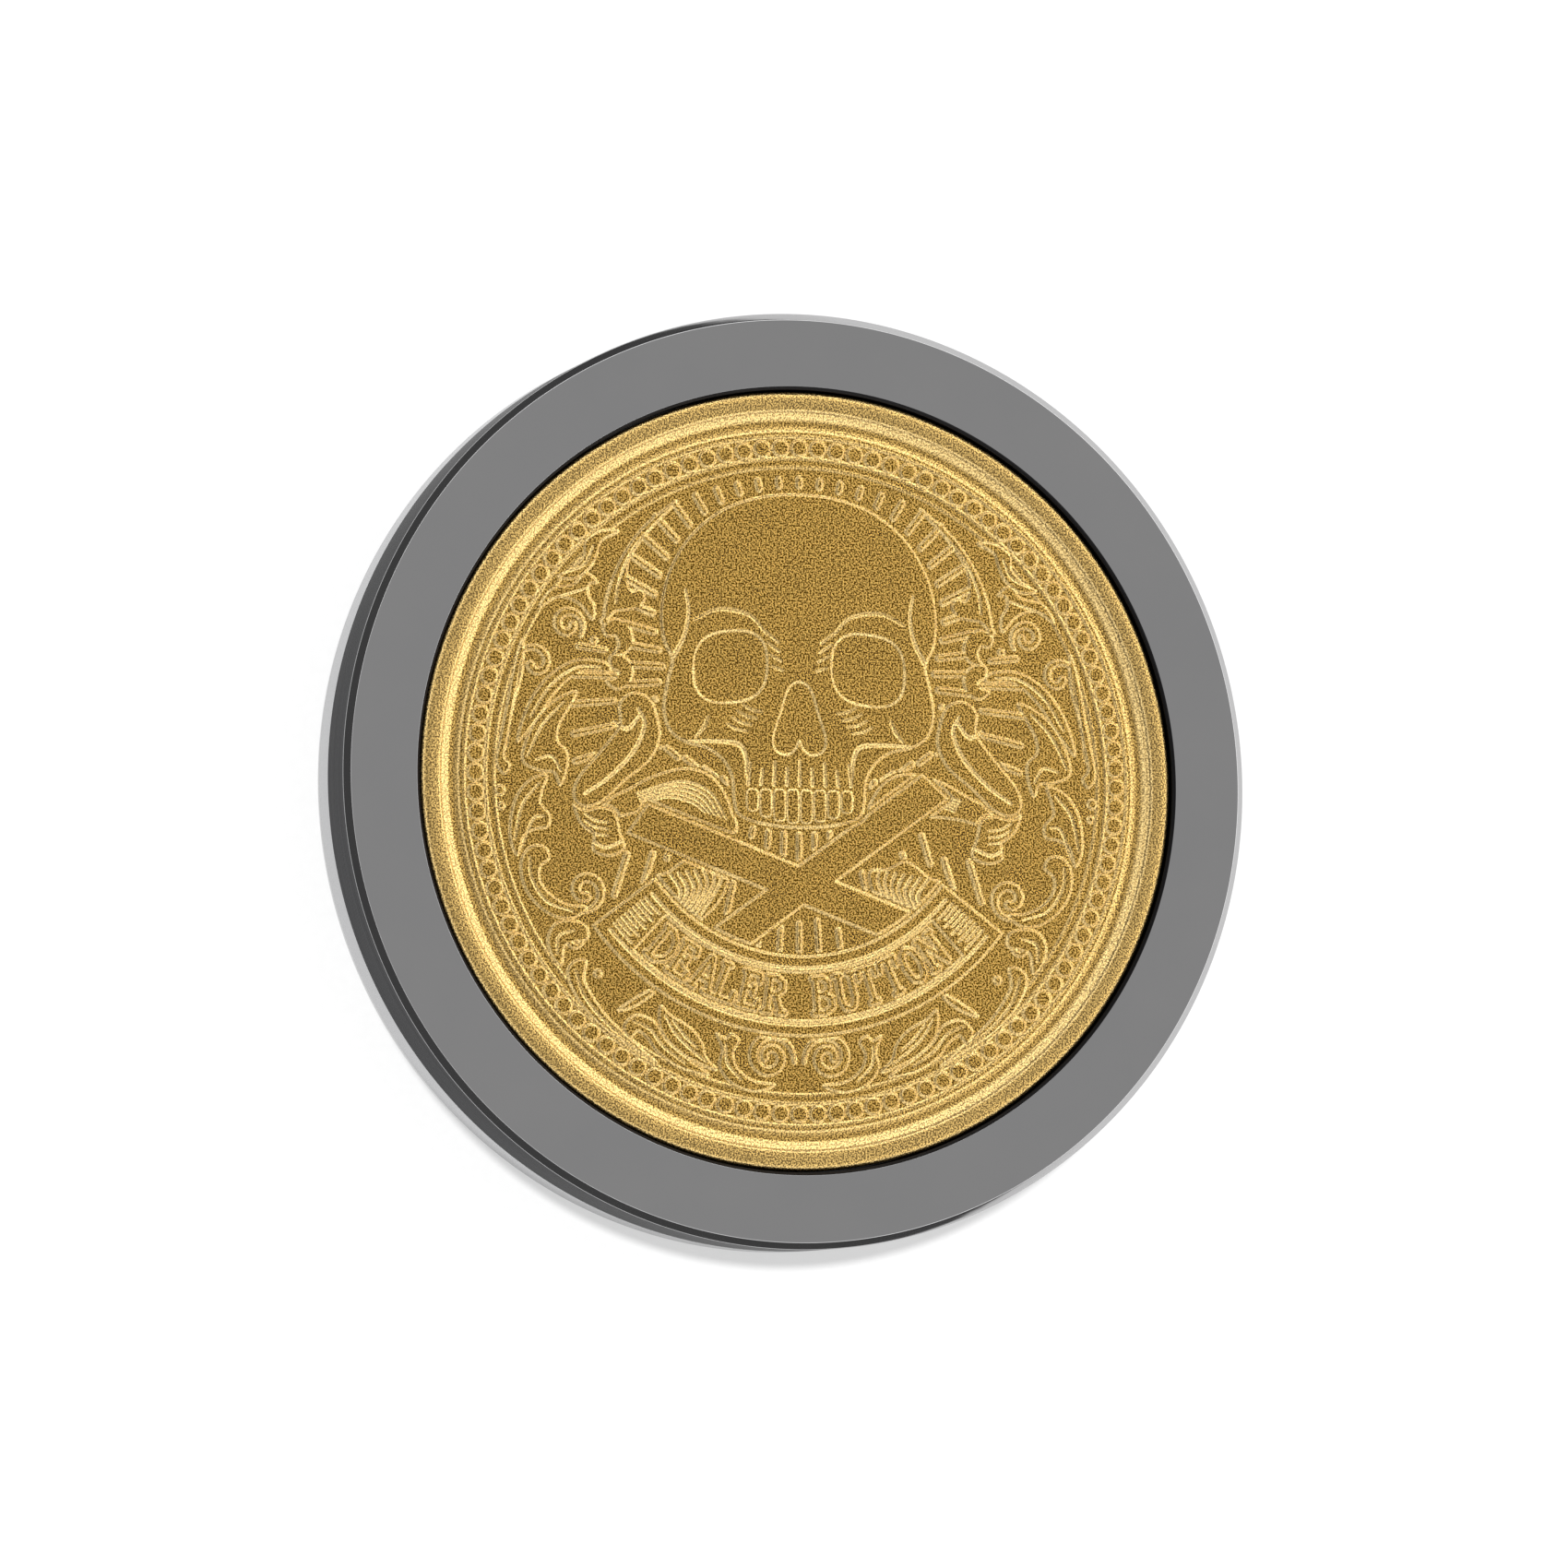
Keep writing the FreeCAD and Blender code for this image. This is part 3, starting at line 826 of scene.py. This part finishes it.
# %% Letters
LETTERS = {
    "D": [[(0.12, 0), (0.12, 1)],
          [(0, 0), (0.45, 0), (0.85, 0.2), (0.95, 0.5), (0.85, 0.8), (0.45, 1), (0, 1)]],
    "E": [[(0.15, 0), (0.15, 1)], [(0, 0), (0.85, 0), (0.9, 0.22)], [(0, 1), (0.8, 1), (0.85, 0.8)],
          [(0.15, 0.52), (0.58, 0.52)], [(0.58, 0.64), (0.58, 0.4)]],
    "A": [[(0.08, 0), (0.47, 1), (0.53, 1), (0.92, 0)], [(0.25, 0.34), (0.75, 0.34)], [(0, 0), (0.24, 0)],
          [(0.72, 0), (1, 0)]],
    "L": [[(0.15, 0), (0.15, 1)], [(0, 1), (0.36, 1)], [(0, 0), (0.85, 0), (0.9, 0.26)]],
    "R": [[(0.15, 0), (0.15, 1)],
          [(0, 1), (0.55, 1), (0.85, 0.87), (0.85, 0.65), (0.55, 0.52), (0.15, 0.52)],
          [(0.5, 0.52), (0.82, 0)], [(0, 0), (0.34, 0)], [(0.7, 0), (1, 0)]],
    "B": [[(0.15, 0), (0.15, 1)],
          [(0, 1), (0.52, 1), (0.8, 0.88), (0.8, 0.66), (0.52, 0.54), (0.15, 0.54)],
          [(0.52, 0.54), (0.88, 0.4), (0.88, 0.14), (0.52, 0), (0, 0)]],
    "U": [[(0.16, 1), (0.16, 0.3), (0.3, 0.05), (0.5, 0), (0.7, 0.05), (0.84, 0.3), (0.84, 1)],
          [(0, 1), (0.32, 1)], [(0.68, 1), (1, 1)]],
    "T": [[(0.5, 0), (0.5, 1)], [(0.04, 0.76), (0.06, 1), (0.94, 1), (0.96, 0.76)],
          [(0.32, 0), (0.68, 0)]],
    "O": [[(0.5, 1), (0.2, 0.88), (0.08, 0.5), (0.2, 0.12), (0.5, 0), (0.8, 0.12), (0.92, 0.5),
           (0.8, 0.88), (0.5, 1)]],
    "N": [[(0.14, 0), (0.14, 1), (0.84, 0), (0.84, 1)], [(0, 0), (0.3, 0)], [(0, 1), (0.2, 1)],
          [(0.68, 1), (1, 1)]],
}

print("cut", len(LETTERS), "letters:", "".join(LETTERS))

# %% Banner
WORDS = "DEALER BUTTON"
LETTER_HEIGHT, LETTER_WIDTH, LETTER_PITCH = 2.2, 1.35, 6.3     # mm, mm, degrees
LETTER_FOOT, LETTER_MIDDLE = 15.65, 14.5                       # radius at the foot, half way up
BANNER_CENTRE = (0.0, 0.7)
BANNER_INNER, BANNER_OUTER, BANNER_HALF = 12.0, 17.05, 53.0    # mm, mm, degrees
FIELD_INNER, FIELD_OUTER, FIELD_HALF = 13.0, 16.1, 43          # the sunk strip behind the words
EDGE_LINES = (12.75, 16.35)                                    # a fine line inside each long edge
HATCHES = 9                                                    # lines at each end of the banner


def on_banner(radius, angle):
    a = math.radians(angle)
    return (BANNER_CENTRE[0] + radius * math.sin(a), BANNER_CENTRE[1] - radius * math.cos(a))


def arc(radius, first, last, count=60):
    return [on_banner(radius, a) for a in np.linspace(first, last, count)]


def draw_banner(die):
    inner = arc(BANNER_INNER, -BANNER_HALF, BANNER_HALF)
    outer = arc(BANNER_OUTER, BANNER_HALF, -BANNER_HALF, 80)
    lift(die, inner + outer, moat=0.3)
    for radius in EDGE_LINES:
        cut(die, arc(radius, 3 - BANNER_HALF, BANNER_HALF - 3, 70), 0.05, depth=0.10)
    field = arc(FIELD_INNER, -FIELD_HALF, FIELD_HALF) + arc(FIELD_OUTER, FIELD_HALF, -FIELD_HALF)
    cut(die, field, depth=0.12, slope=SLOPE)
    for k in range(HATCHES):
        hatch = arc(13.25 + 0.33 * k, 44.5 + 1.5 * (k % 2), 50.5, 6)
        both_sides(cut, die, hatch, 0.035, depth=0.08, slope=0.12)
    for k, letter in enumerate(WORDS):
        middle = (k - (len(WORDS) - 1) / 2) * LETTER_PITCH
        for stroke in LETTERS.get(letter, []):
            points = [on_banner(LETTER_FOOT - v * LETTER_HEIGHT,
                                middle + math.degrees((u - 0.5) * LETTER_WIDTH / LETTER_MIDDLE))
                      for u, v in stroke]
            lift(die, points, 0.19, height=RELIEF + 0.02)


print("the banner's outer edge is", round(BANNER_OUTER * math.radians(2 * BANNER_HALF), 1), "mm long")

# %% [markdown]
# ### Ribbon
#
# A ribbon passes behind the boards on each side. It is drawn as four closed shapes, from the pleated
# tail up to the fold that curls over at the top. Each covers the one before, and has its folds cut
# before the next is drawn.

# %% Ribbon
TAIL = [(-9.9, -6.7), (-8.7, -6.1), (-7.2, -5.1), (-5.9, -5.6), (-4.7, -5.8), (-5.0, -7.3), (-6.1, -8.7),
        (-7.7, -9.5)]
HUMP = [(-4.2, -3.4), (-4.8, -1.3), (-5.9, 0.1), (-7.6, 0.55), (-9.7, 0.0), (-11.4, -0.9), (-13.0, -1.7),
        (-12.4, -2.6), (-10.6, -2.3), (-8.5, -2.2), (-6.2, -2.9)]
DROP = [(-14.9, -1.6), (-13.6, -2.0), (-12.3, -2.3), (-11.9, -3.6), (-11.6, -4.6), (-12.5, -5.1),
        (-13.6, -4.8), (-13.6, -3.7), (-14.5, -3.0)]
RISE = [(-14.9, -1.4), (-14.6, -0.2), (-13.0, 1.7), (-11.9, 3.2), (-11.9, 4.6), (-11.0, 5.3), (-9.9, 4.9),
        (-9.4, 3.6), (-9.3, 2.4), (-10.0, 1.0), (-11.6, -0.3), (-13.0, -1.6), (-14.2, -2.0)]


def crease(die, points, *marks, **how):
    both_sides(cut, die, smooth(points), *marks, **how)


def draw_ribbon(die):
    both_sides(lift, die, smooth(TAIL, closed=True, steps=4), moat=0.25)
    for f in np.linspace(0, 1, 7):
        fold = [(-8.6 + 3.3 * f, -6.2 + 0.55 * f), (-7.9 + 2.6 * f, -7.4 + 0.7 * f),
                (-8.7 + 2.2 * f, -8.9 + 0.2 * f)]
        crease(die, fold, 0.03, 0.06, 0.03, slope=0.13)
    both_sides(lift, die, smooth(HUMP, closed=True, steps=5), moat=0.28)
    for f in np.linspace(0, 1, 5):
        fold = [(-4.9 - 1.4 * f, -2.6 + 0.4 * f), (-6.0 - 1.2 * f, -0.9 - 0.7 * f),
                (-8.0 - 0.8 * f, -0.3 - 1.0 * f), (-10.8 + 0.4 * f, -1.1 - 0.7 * f)]
        crease(die, fold, 0.02, 0.04, 0.02, depth=0.07, slope=0.12)
    both_sides(lift, die, smooth(DROP, closed=True, steps=5), moat=0.2)
    crease(die, [(-13.6, -4.3), (-12.8, -4.6), (-11.8, -4.2)], 0.05)
    for k in range(3):
        fold = [(-14.2, -2.5 - 0.42 * k), (-13.5, -2.9 - 0.42 * k), (-12.7, -3.0 - 0.42 * k)]
        crease(die, fold, 0.02, 0.04, 0.02, depth=0.06, slope=0.12)
    both_sides(lift, die, smooth(RISE, closed=True, steps=5), moat=0.25)
    crease(die, [(-14.2, -1.2), (-12.6, -0.1), (-11.0, 1.6), (-10.3, 3.3), (-10.7, 4.3)], 0.05, 0.08, 0.03)
    crease(die, [(-12.3, 3.4), (-11.4, 3.0), (-10.6, 3.9)], 0.04, 0.09, 0.03)


print("the ribbon reaches", round(abs(min(x for x, y in RISE + DROP)), 1), "mm from the middle")

# %% [markdown]
# ### Leaves and scrolls
#
# The sides and the foot are filled with leaves and scrolls, drawn once and mirrored. Each leaf is a
# closed outline with the points its tips and hollows need. Veins are cut along the broad ones, the
# scrolls are spirals that swell towards the middle, and a few round dots fill the gaps.

# %% Leaves at the top and sides
CREST = [   # under the border, top: a long stem that ends in a hook, and small leaves behind it
    [(-8.1, 17.7), (-10.3, 16.0), (-11.8, 13.9), (-12.7, 11.7), (-12.95, 9.9), (-12.2, 10.5),
     (-11.5, 10.6), (-10.7, 10.8), (-10.25, 11.4), (-10.6, 11.95), (-11.15, 11.8), (-11.45, 12.5),
     (-11.2, 14.0), (-9.9, 15.8)],
    [(-12.0, 15.6), (-13.1, 15.0), (-13.4, 14.2), (-13.9, 13.2), (-14.9, 12.5), (-16.0, 12.6),
     (-15.0, 13.2), (-14.3, 14.0), (-14.2, 14.9), (-13.2, 15.6)],
    [(-13.4, 12.3), (-13.9, 12.2), (-14.0, 11.5), (-13.6, 10.8), (-13.7, 9.9), (-14.6, 10.9),
     (-15.9, 11.3), (-17.2, 10.6), (-16.4, 11.8), (-15.0, 12.1), (-14.2, 12.9)],
]
SIDE = [    # beside the skull: two round lobes, a long arching leaf and a broad leaf with two tips
    [(-13.0, 9.5), (-12.2, 10.0), (-11.3, 9.5), (-11.05, 8.6), (-11.5, 7.85), (-12.3, 7.7), (-12.0, 8.3),
     (-12.2, 8.9), (-12.8, 8.9)],
    [(-12.5, 7.65), (-11.6, 7.6), (-11.05, 6.8), (-11.3, 5.9), (-12.1, 5.5), (-12.8, 6.0), (-12.2, 6.2),
     (-12.0, 6.6), (-12.5, 6.9)],
    [(-18.6, 2.0), (-17.9, 4.4), (-16.5, 6.3), (-14.7, 7.3), (-12.9, 7.2), (-12.6, 6.6), (-14.4, 6.6),
     (-16.0, 5.4), (-17.2, 3.7)],
    [(-18.3, 0.9), (-17.6, 3.1), (-16.3, 4.6), (-14.75, 5.3), (-15.3, 4.2), (-15.9, 3.1), (-16.0, 2.1),
     (-15.35, 1.4), (-15.4, 0.3), (-15.8, -0.7), (-16.2, 0.1), (-17.1, 0.2)],
    [(-19.1, -3.9), (-18.8, -1.8), (-17.9, -0.5), (-16.7, -0.05), (-17.0, -1.1), (-17.1, -1.9),
     (-16.5, -2.6), (-16.6, -3.35), (-17.4, -3.5), (-18.2, -4.0), (-18.6, -5.2)],
    [(-18.3, 8.6), (-18.9, 6.6), (-19.3, 4.4), (-19.75, 2.2), (-20.0, 0.7), (-19.5, -0.05), (-19.1, 0.5),
     (-19.5, 1.1), (-19.2, 2.6), (-18.8, 4.6), (-18.3, 6.6)],
]

print("leaves beside the skull:", len(CREST + SIDE))

# %% Leaves below
LOW = [     # beside the ribbon: a fat C scroll that ends in a ball, and a hooked stem under it
    [(-16.5, -5.3), (-16.9, -4.6), (-17.8, -4.7), (-18.35, -5.6), (-18.2, -7.0), (-17.4, -8.2),
     (-16.2, -9.0), (-14.9, -9.1), (-14.1, -8.4), (-15.2, -8.3), (-16.4, -7.7), (-17.1, -6.8),
     (-17.1, -5.9)],
    [(-16.6, -10.5), (-16.1, -9.5), (-15.0, -9.3), (-14.1, -9.6), (-14.0, -10.4), (-14.8, -10.6),
     (-15.5, -10.9), (-15.7, -12.1), (-16.3, -11.6)],
    [(-14.1, -11.8), (-14.9, -11.9), (-15.3, -12.7), (-14.6, -14.3), (-13.1, -15.9), (-11.3, -17.1),
     (-9.4, -18.2), (-11.2, -16.7), (-12.9, -15.1), (-14.1, -13.3), (-14.2, -12.6)],
    [(-9.3, -13.5), (-10.3, -13.8), (-12.0, -14.9), (-10.8, -14.6)],
]
FOOT = [    # either side of the two spirals at the foot: broad leaves that curl outwards
    [(-9.2, -14.6), (-8.5, -15.2), (-7.3, -15.9), (-6.5, -16.8), (-6.2, -17.8), (-5.5, -18.6),
     (-6.9, -18.1), (-8.3, -17.2), (-9.2, -16.0)],
    [(-11.6, -15.9), (-10.8, -15.2), (-9.6, -15.6), (-8.9, -16.7), (-7.6, -17.8), (-6.0, -18.9),
     (-7.9, -18.5), (-9.3, -17.6), (-10.0, -16.7), (-10.7, -16.2), (-11.2, -16.7)],
    [(-5.5, -16.3), (-4.9, -16.6), (-4.5, -16.3), (-4.0, -16.7), (-4.4, -17.5), (-4.1, -18.5),
     (-3.0, -19.3), (-1.6, -19.5), (-2.9, -19.95), (-4.4, -19.5), (-5.3, -18.4), (-5.1, -17.3)],
]

print("leaves below it:", len(LOW + FOOT))

# %% Veins, spirals and dots
VEINS = [
    [(-9.0, 16.8), (-11.0, 14.6), (-12.0, 12.4), (-12.2, 11.0)],
    [(-15.6, 12.8), (-14.3, 13.4), (-13.7, 14.6)], [(-16.6, 11.1), (-15.0, 11.6), (-14.1, 11.9)],
    [(-17.8, 3.6), (-16.5, 5.6), (-14.8, 6.8), (-13.2, 6.9)], [(-18.0, 1.1), (-17.0, 3.1), (-15.6, 4.6)],
    [(-17.4, 0.9), (-16.4, 1.1), (-15.8, 0.2)], [(-18.8, -4.2), (-18.3, -2.0), (-17.2, -0.6)],
    [(-18.3, -4.7), (-17.6, -2.9), (-16.9, -2.7)],
    [(-17.8, -5.3), (-17.7, -6.6), (-16.7, -8.1), (-15.0, -8.7)],
    [(-16.0, -11.4), (-15.9, -10.3), (-14.9, -9.9)],
    [(-14.8, -12.4), (-14.2, -14.1), (-12.6, -15.9), (-10.8, -17.2)],
    [(-8.9, -15.2), (-8.2, -16.4), (-7.0, -17.5), (-6.2, -18.1)],
    [(-8.4, -15.5), (-7.6, -16.5), (-6.8, -17.2)],
    [(-11.0, -15.6), (-9.9, -16.1), (-9.0, -17.2), (-7.6, -18.2)],
    [(-4.9, -17.0), (-4.8, -18.2), (-3.9, -19.2)],
    [(-19.3, 1.6), (-19.0, 3.8), (-18.6, 5.8), (-18.4, 7.2)],
]
SPIRALS = [   # centre, outer and inner radius, first angle, turn, half widths along it
    ((-15.35, 9.55), 1.15, 0.35, -40, 400, (0.06, 0.24, 0.22, 0.2)),
    ((-17.45, 7.05), 1.25, 0.35, 165, -320, (0.08, 0.2, 0.2, 0.24)),
    ((-14.15, -7.35), 1.35, 0.4, -100, 380, (0.1, 0.26, 0.26, 0.26)),
    ((-14.9, -10.5), 0.75, 0.3, 100, -250, (0.06, 0.14, 0.16)),
    ((-1.95, -17.75), 1.65, 0.35, -10, 560, (0.1, 0.28, 0.26, 0.2)),
]
BALLS = [(-19.75, -1.1, 0.3), (-19.65, -2.1, 0.2), (-12.9, 9.85, 0.24), (-9.35, 4.05, 0.2),
         (-4.4, -0.45, 0.24), (-13.3, -12.6, 0.24), (-16.0, 5.9, 0.12), (0.0, -16.0, 0.22),
         (-13.6, 8.6, 0.2)]


def draw_scrolls(die):
    """Leaves and scrolls that fill the two sides and the foot, the same left and right."""
    for outline in CREST + SIDE + LOW + FOOT:
        both_sides(lift, die, smooth(outline, closed=True, steps=5))
    for centre, outer, inner, first, sweep, marks in SPIRALS:
        both_sides(lift, die, spiral(*centre, outer, inner, first, sweep), *marks)
    for vein in VEINS:
        crease(die, vein, 0.02, 0.05, 0.02, depth=0.06, slope=0.12)
    for x, y, size in BALLS:
        both_sides(lift, die, [(x, y), (x, y - 0.01)], size)


print("spirals on one side:", len(SPIRALS), "and dots:", len(BALLS))

# %% [markdown]
# Last comes the order of striking. What is drawn later lies on top: the border and rays are
# furthest back, and the skull is in front of everything.

# %% Order of striking
LAYERS = [draw_border, draw_rays, draw_scrolls, draw_ribbon, draw_boards, draw_banner, draw_skull,
          draw_teeth]


def strike(die):
    for draw in LAYERS:
        draw(die)


print("the picture has", len(LAYERS), "layers")

# %% [markdown]
# ## Striking the medallions
#
# The height map becomes a mesh. A square grid is bent into a disc so that no point of it is
# crowded, not even at the centre: each ring of the square becomes a ring of the disc. The die gives
# each point its height, then a straight wall goes down from the edge and a flat back closes it.

# %% A struck disc
def disc_grid(cells):
    """A square grid bent into a disc of radius 1: every square ring becomes a circle."""
    line = np.linspace(-1, 1, cells + 1)
    a, b = np.meshgrid(line, line, indexing="ij")
    radius = np.maximum(np.abs(a), np.abs(b))
    wide = np.abs(a) > np.abs(b)
    with np.errstate(divide="ignore", invalid="ignore"):
        angle = np.where(wide, np.pi / 4 * b / a, np.pi / 2 - np.pi / 4 * a / b)
    angle = np.nan_to_num(angle)
    sign = np.where(wide, np.sign(a), np.sign(b))
    return radius * sign * np.cos(angle), radius * sign * np.sin(angle)


def struck_disc(name, back, field, cells, facing):
    """A closed medallion mesh: facing 1 looks up, -1 is turned over about the Y axis to look down."""
    x, y = disc_grid(cells)
    die = Die(x.ravel() * DISC, y.ravel() * DISC)
    strike(die)
    n = cells + 1
    grid = np.arange(n * n).reshape(n, n)
    faces = np.stack([grid[:-1, :-1], grid[1:, :-1], grid[1:, 1:], grid[:-1, 1:]], axis=2).reshape(-1, 4)
    edge = np.concatenate([grid[:-1, 0], grid[-1, :-1], grid[:0:-1, -1], grid[0, :0:-1]])
    foot = n * n + np.arange(len(edge))
    wall = np.stack([edge, foot, np.roll(foot, -1), np.roll(edge, -1)], axis=1)
    middle = np.full(len(edge), n * n + len(edge))
    base = np.stack([foot, middle, np.roll(foot, -1)], axis=1)
    top = np.stack([die.x, die.y, field + facing * die.height], axis=1)
    bottom = np.stack([die.x[edge], die.y[edge], np.full(len(edge), back)], axis=1)
    verts = np.vstack([top, bottom, [[0, 0, back]]]) * (facing, 1, 1) * MM
    mesh = bpy.data.meshes.new(name)
    mesh.from_pydata(verts, [], faces.tolist() + wall.tolist() + base.tolist())
    soft = np.ones(len(mesh.polygons), bool)
    soft[-len(base):] = False
    mesh.polygons.foreach_set("use_smooth", soft)
    # How much paler gold to paint: a painted highlight on the steep sides, and the rim's wear.
    steep = np.zeros(len(verts), np.float32)
    steep[:n * n] = die.steepness(n)
    mesh.attributes.new("sheen_and_wear", "FLOAT", "POINT").data.foreach_set("value", steep)
    mesh.materials.append(BLASTED_GOLD)
    mesh.update()
    disc = bpy.data.objects.new(name, mesh)
    bpy.context.scene.collection.objects.link(disc)
    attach(disc, "root")
    print(f"{name}: {len(mesh.polygons)} faces, relief {die.height.max():.2f} mm")
    return disc


# %% The two medallions
front_medallion = struck_disc("front_medallion_struck", DISC_BACK, DISC_TOP - RIM_HEIGHT, FRONT_CELLS, 1)
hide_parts("front_medallion")
rear_medallion = struck_disc("rear_medallion_struck", REAR_BACK, REAR_FACE + RIM_HEIGHT, REAR_CELLS, -1)
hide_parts("rear_medallion")

# %% [markdown]
# ## Floor and light
#
# The button lies on a sheet of opal acrylic that is lit from below, the usual way to keep the
# ground behind a small product white. About half of its white is its own glow, and it gives back
# only a fifth of the light that falls on it, so shadows on it stay faint. It is matt, with the
# finest grain, and so large that its edge never shows.

# %% Floor
GLOW = 0.5
FLOOR_GRAIN = 0.6       # mm
FLOOR_REACH = 30        # metres each way from the button


def make_floor():
    material, tree, place = start_finish(
        "lit_white_acrylic", {"Roughness": 0.8, "Specular IOR Level": 0.1,
                              "Emission Color": linear("#FFFFFF"), "Emission Strength": GLOW})
    fibre = add(tree, "ShaderNodeTexNoise", {"Scale": 1 / (FLOOR_GRAIN * MM), "Detail": 2.0},
                {"Vector": place})
    tone = add(tree, "ShaderNodeMix", {"data_type": "RGBA", 6: linear("#7C7C7C"), 7: linear("#828282")},
               {0: fibre.outputs["Fac"]})
    tree.links.new(tone.outputs[2], tree.nodes["Principled BSDF"].inputs["Base Color"])
    corners = [(x * FLOOR_REACH, y * FLOOR_REACH, 0) for x, y in ((-1, -1), (1, -1), (1, 1), (-1, 1))]
    mesh = bpy.data.meshes.new("floor")
    mesh.from_pydata(corners, [], [(0, 1, 2, 3)])
    mesh.materials.append(material)
    floor = bpy.data.objects.new("floor", mesh)
    floor.location.z = cad_box[0].z - 0.01 * MM
    bpy.context.scene.collection.objects.link(floor)
    return floor


floor = make_floor()
print("the floor lies at", round(floor.location.z / MM, 2), "mm")

# %% [markdown]
# Polished metal shows the room more than it shows itself, so the room is painted for it, in rings
# round the point straight above. Overhead is a plain grey card, which the ring's flat face
# mirrors. Round the card the light is bright, a little more on the right and at the top, and every
# slope of the picture gleams in it. Lower down it is dark: that puts a black line along every
# bevelled edge. At the horizon it is white again, like the ground.
#
# Each ring of the room blends into the next over a short range of heights. The bright one reaches
# lower on the right, where the slopes of the medallion's left side look.

# %% Room light
CARD, DARK, HORIZON = 0.46, 0.09, 1.05
ROOM_RIGHT, ROOM_LEFT, ROOM_TOP, ROOM_BOTTOM = 1.95, 1.7, 1.15, 0.85


def make_room():
    world = bpy.data.worlds.new("room")
    bpy.context.scene.world = world
    world.use_nodes = True
    tree = world.node_tree
    way = add(tree, "ShaderNodeSeparateXYZ", None,
              {"Vector": add(tree, "ShaderNodeTexCoord").outputs["Generated"]}).outputs
    across, upwards = [
        add(tree, "ShaderNodeMapRange", {"From Min": -0.6, "From Max": 0.6, "To Min": low, "To Max": high},
            {"Value": way[axis]}).outputs["Result"]
        for axis, low, high in (("X", ROOM_LEFT, ROOM_RIGHT), ("Y", ROOM_BOTTOM, ROOM_TOP))]
    bright = add(tree, "ShaderNodeMath", {"operation": "MULTIPLY"},
                 {0: across, 1: upwards}).outputs["Value"]
    leaning = add(tree, "ShaderNodeMath", {"operation": "MULTIPLY_ADD", 1: 0.25},
                  {0: way["X"], 2: way["Z"]}).outputs["Value"]
    rings = [(way["Z"], 0.05, 0.075, DARK), (leaning, 0.33, 0.43, bright), (way["Z"], 0.76, 0.87, CARD)]
    light = HORIZON
    for height, low, high, next_light in rings:
        blend = add(tree, "ShaderNodeMapRange",
                    {"interpolation_type": "SMOOTHSTEP", "From Min": low, "From Max": high},
                    {"Value": height})
        mix = add(tree, "ShaderNodeMix", None, {0: blend.outputs["Result"]})
        for socket, value in ((2, light), (3, next_light)):
            if isinstance(value, float):
                mix.inputs[socket].default_value = value
            else:
                tree.links.new(value, mix.inputs[socket])
        light = mix.outputs[0]
    tree.links.new(light, tree.nodes["Background"].inputs["Color"])
    return world


make_room()
bpy.context.scene.view_settings.view_transform = "Standard"
print("the room runs from", DARK, "to", round(ROOM_RIGHT * ROOM_TOP, 2))

# %% [markdown]
# A small lamp almost overhead draws the thin shadow where the button meets the ground. It stands a
# few degrees behind the button and to the left, so the shadow falls towards the viewer. Metal
# doesn't mirror it, or its glint would sit on the medallion: it lights only what is matt.

# %% Lamp
LAMP_POWER, LAMP_WIDTH = 5.4, math.radians(5)
LAMP_BEHIND, LAMP_LEFT = math.radians(8), math.radians(6)


def make_lamp():
    data = bpy.data.lights.new("overhead_lamp", "SUN")
    data.energy, data.angle = LAMP_POWER, LAMP_WIDTH
    lamp = bpy.data.objects.new("overhead_lamp", data)
    lamp.rotation_euler = (-LAMP_BEHIND, -LAMP_LEFT, 0)
    lamp.visible_glossy = False
    bpy.context.scene.collection.objects.link(lamp)
    return lamp


lamp = make_lamp()
print("its shadow reaches", round(TOP * math.tan(LAMP_BEHIND), 1), "mm past the rim")
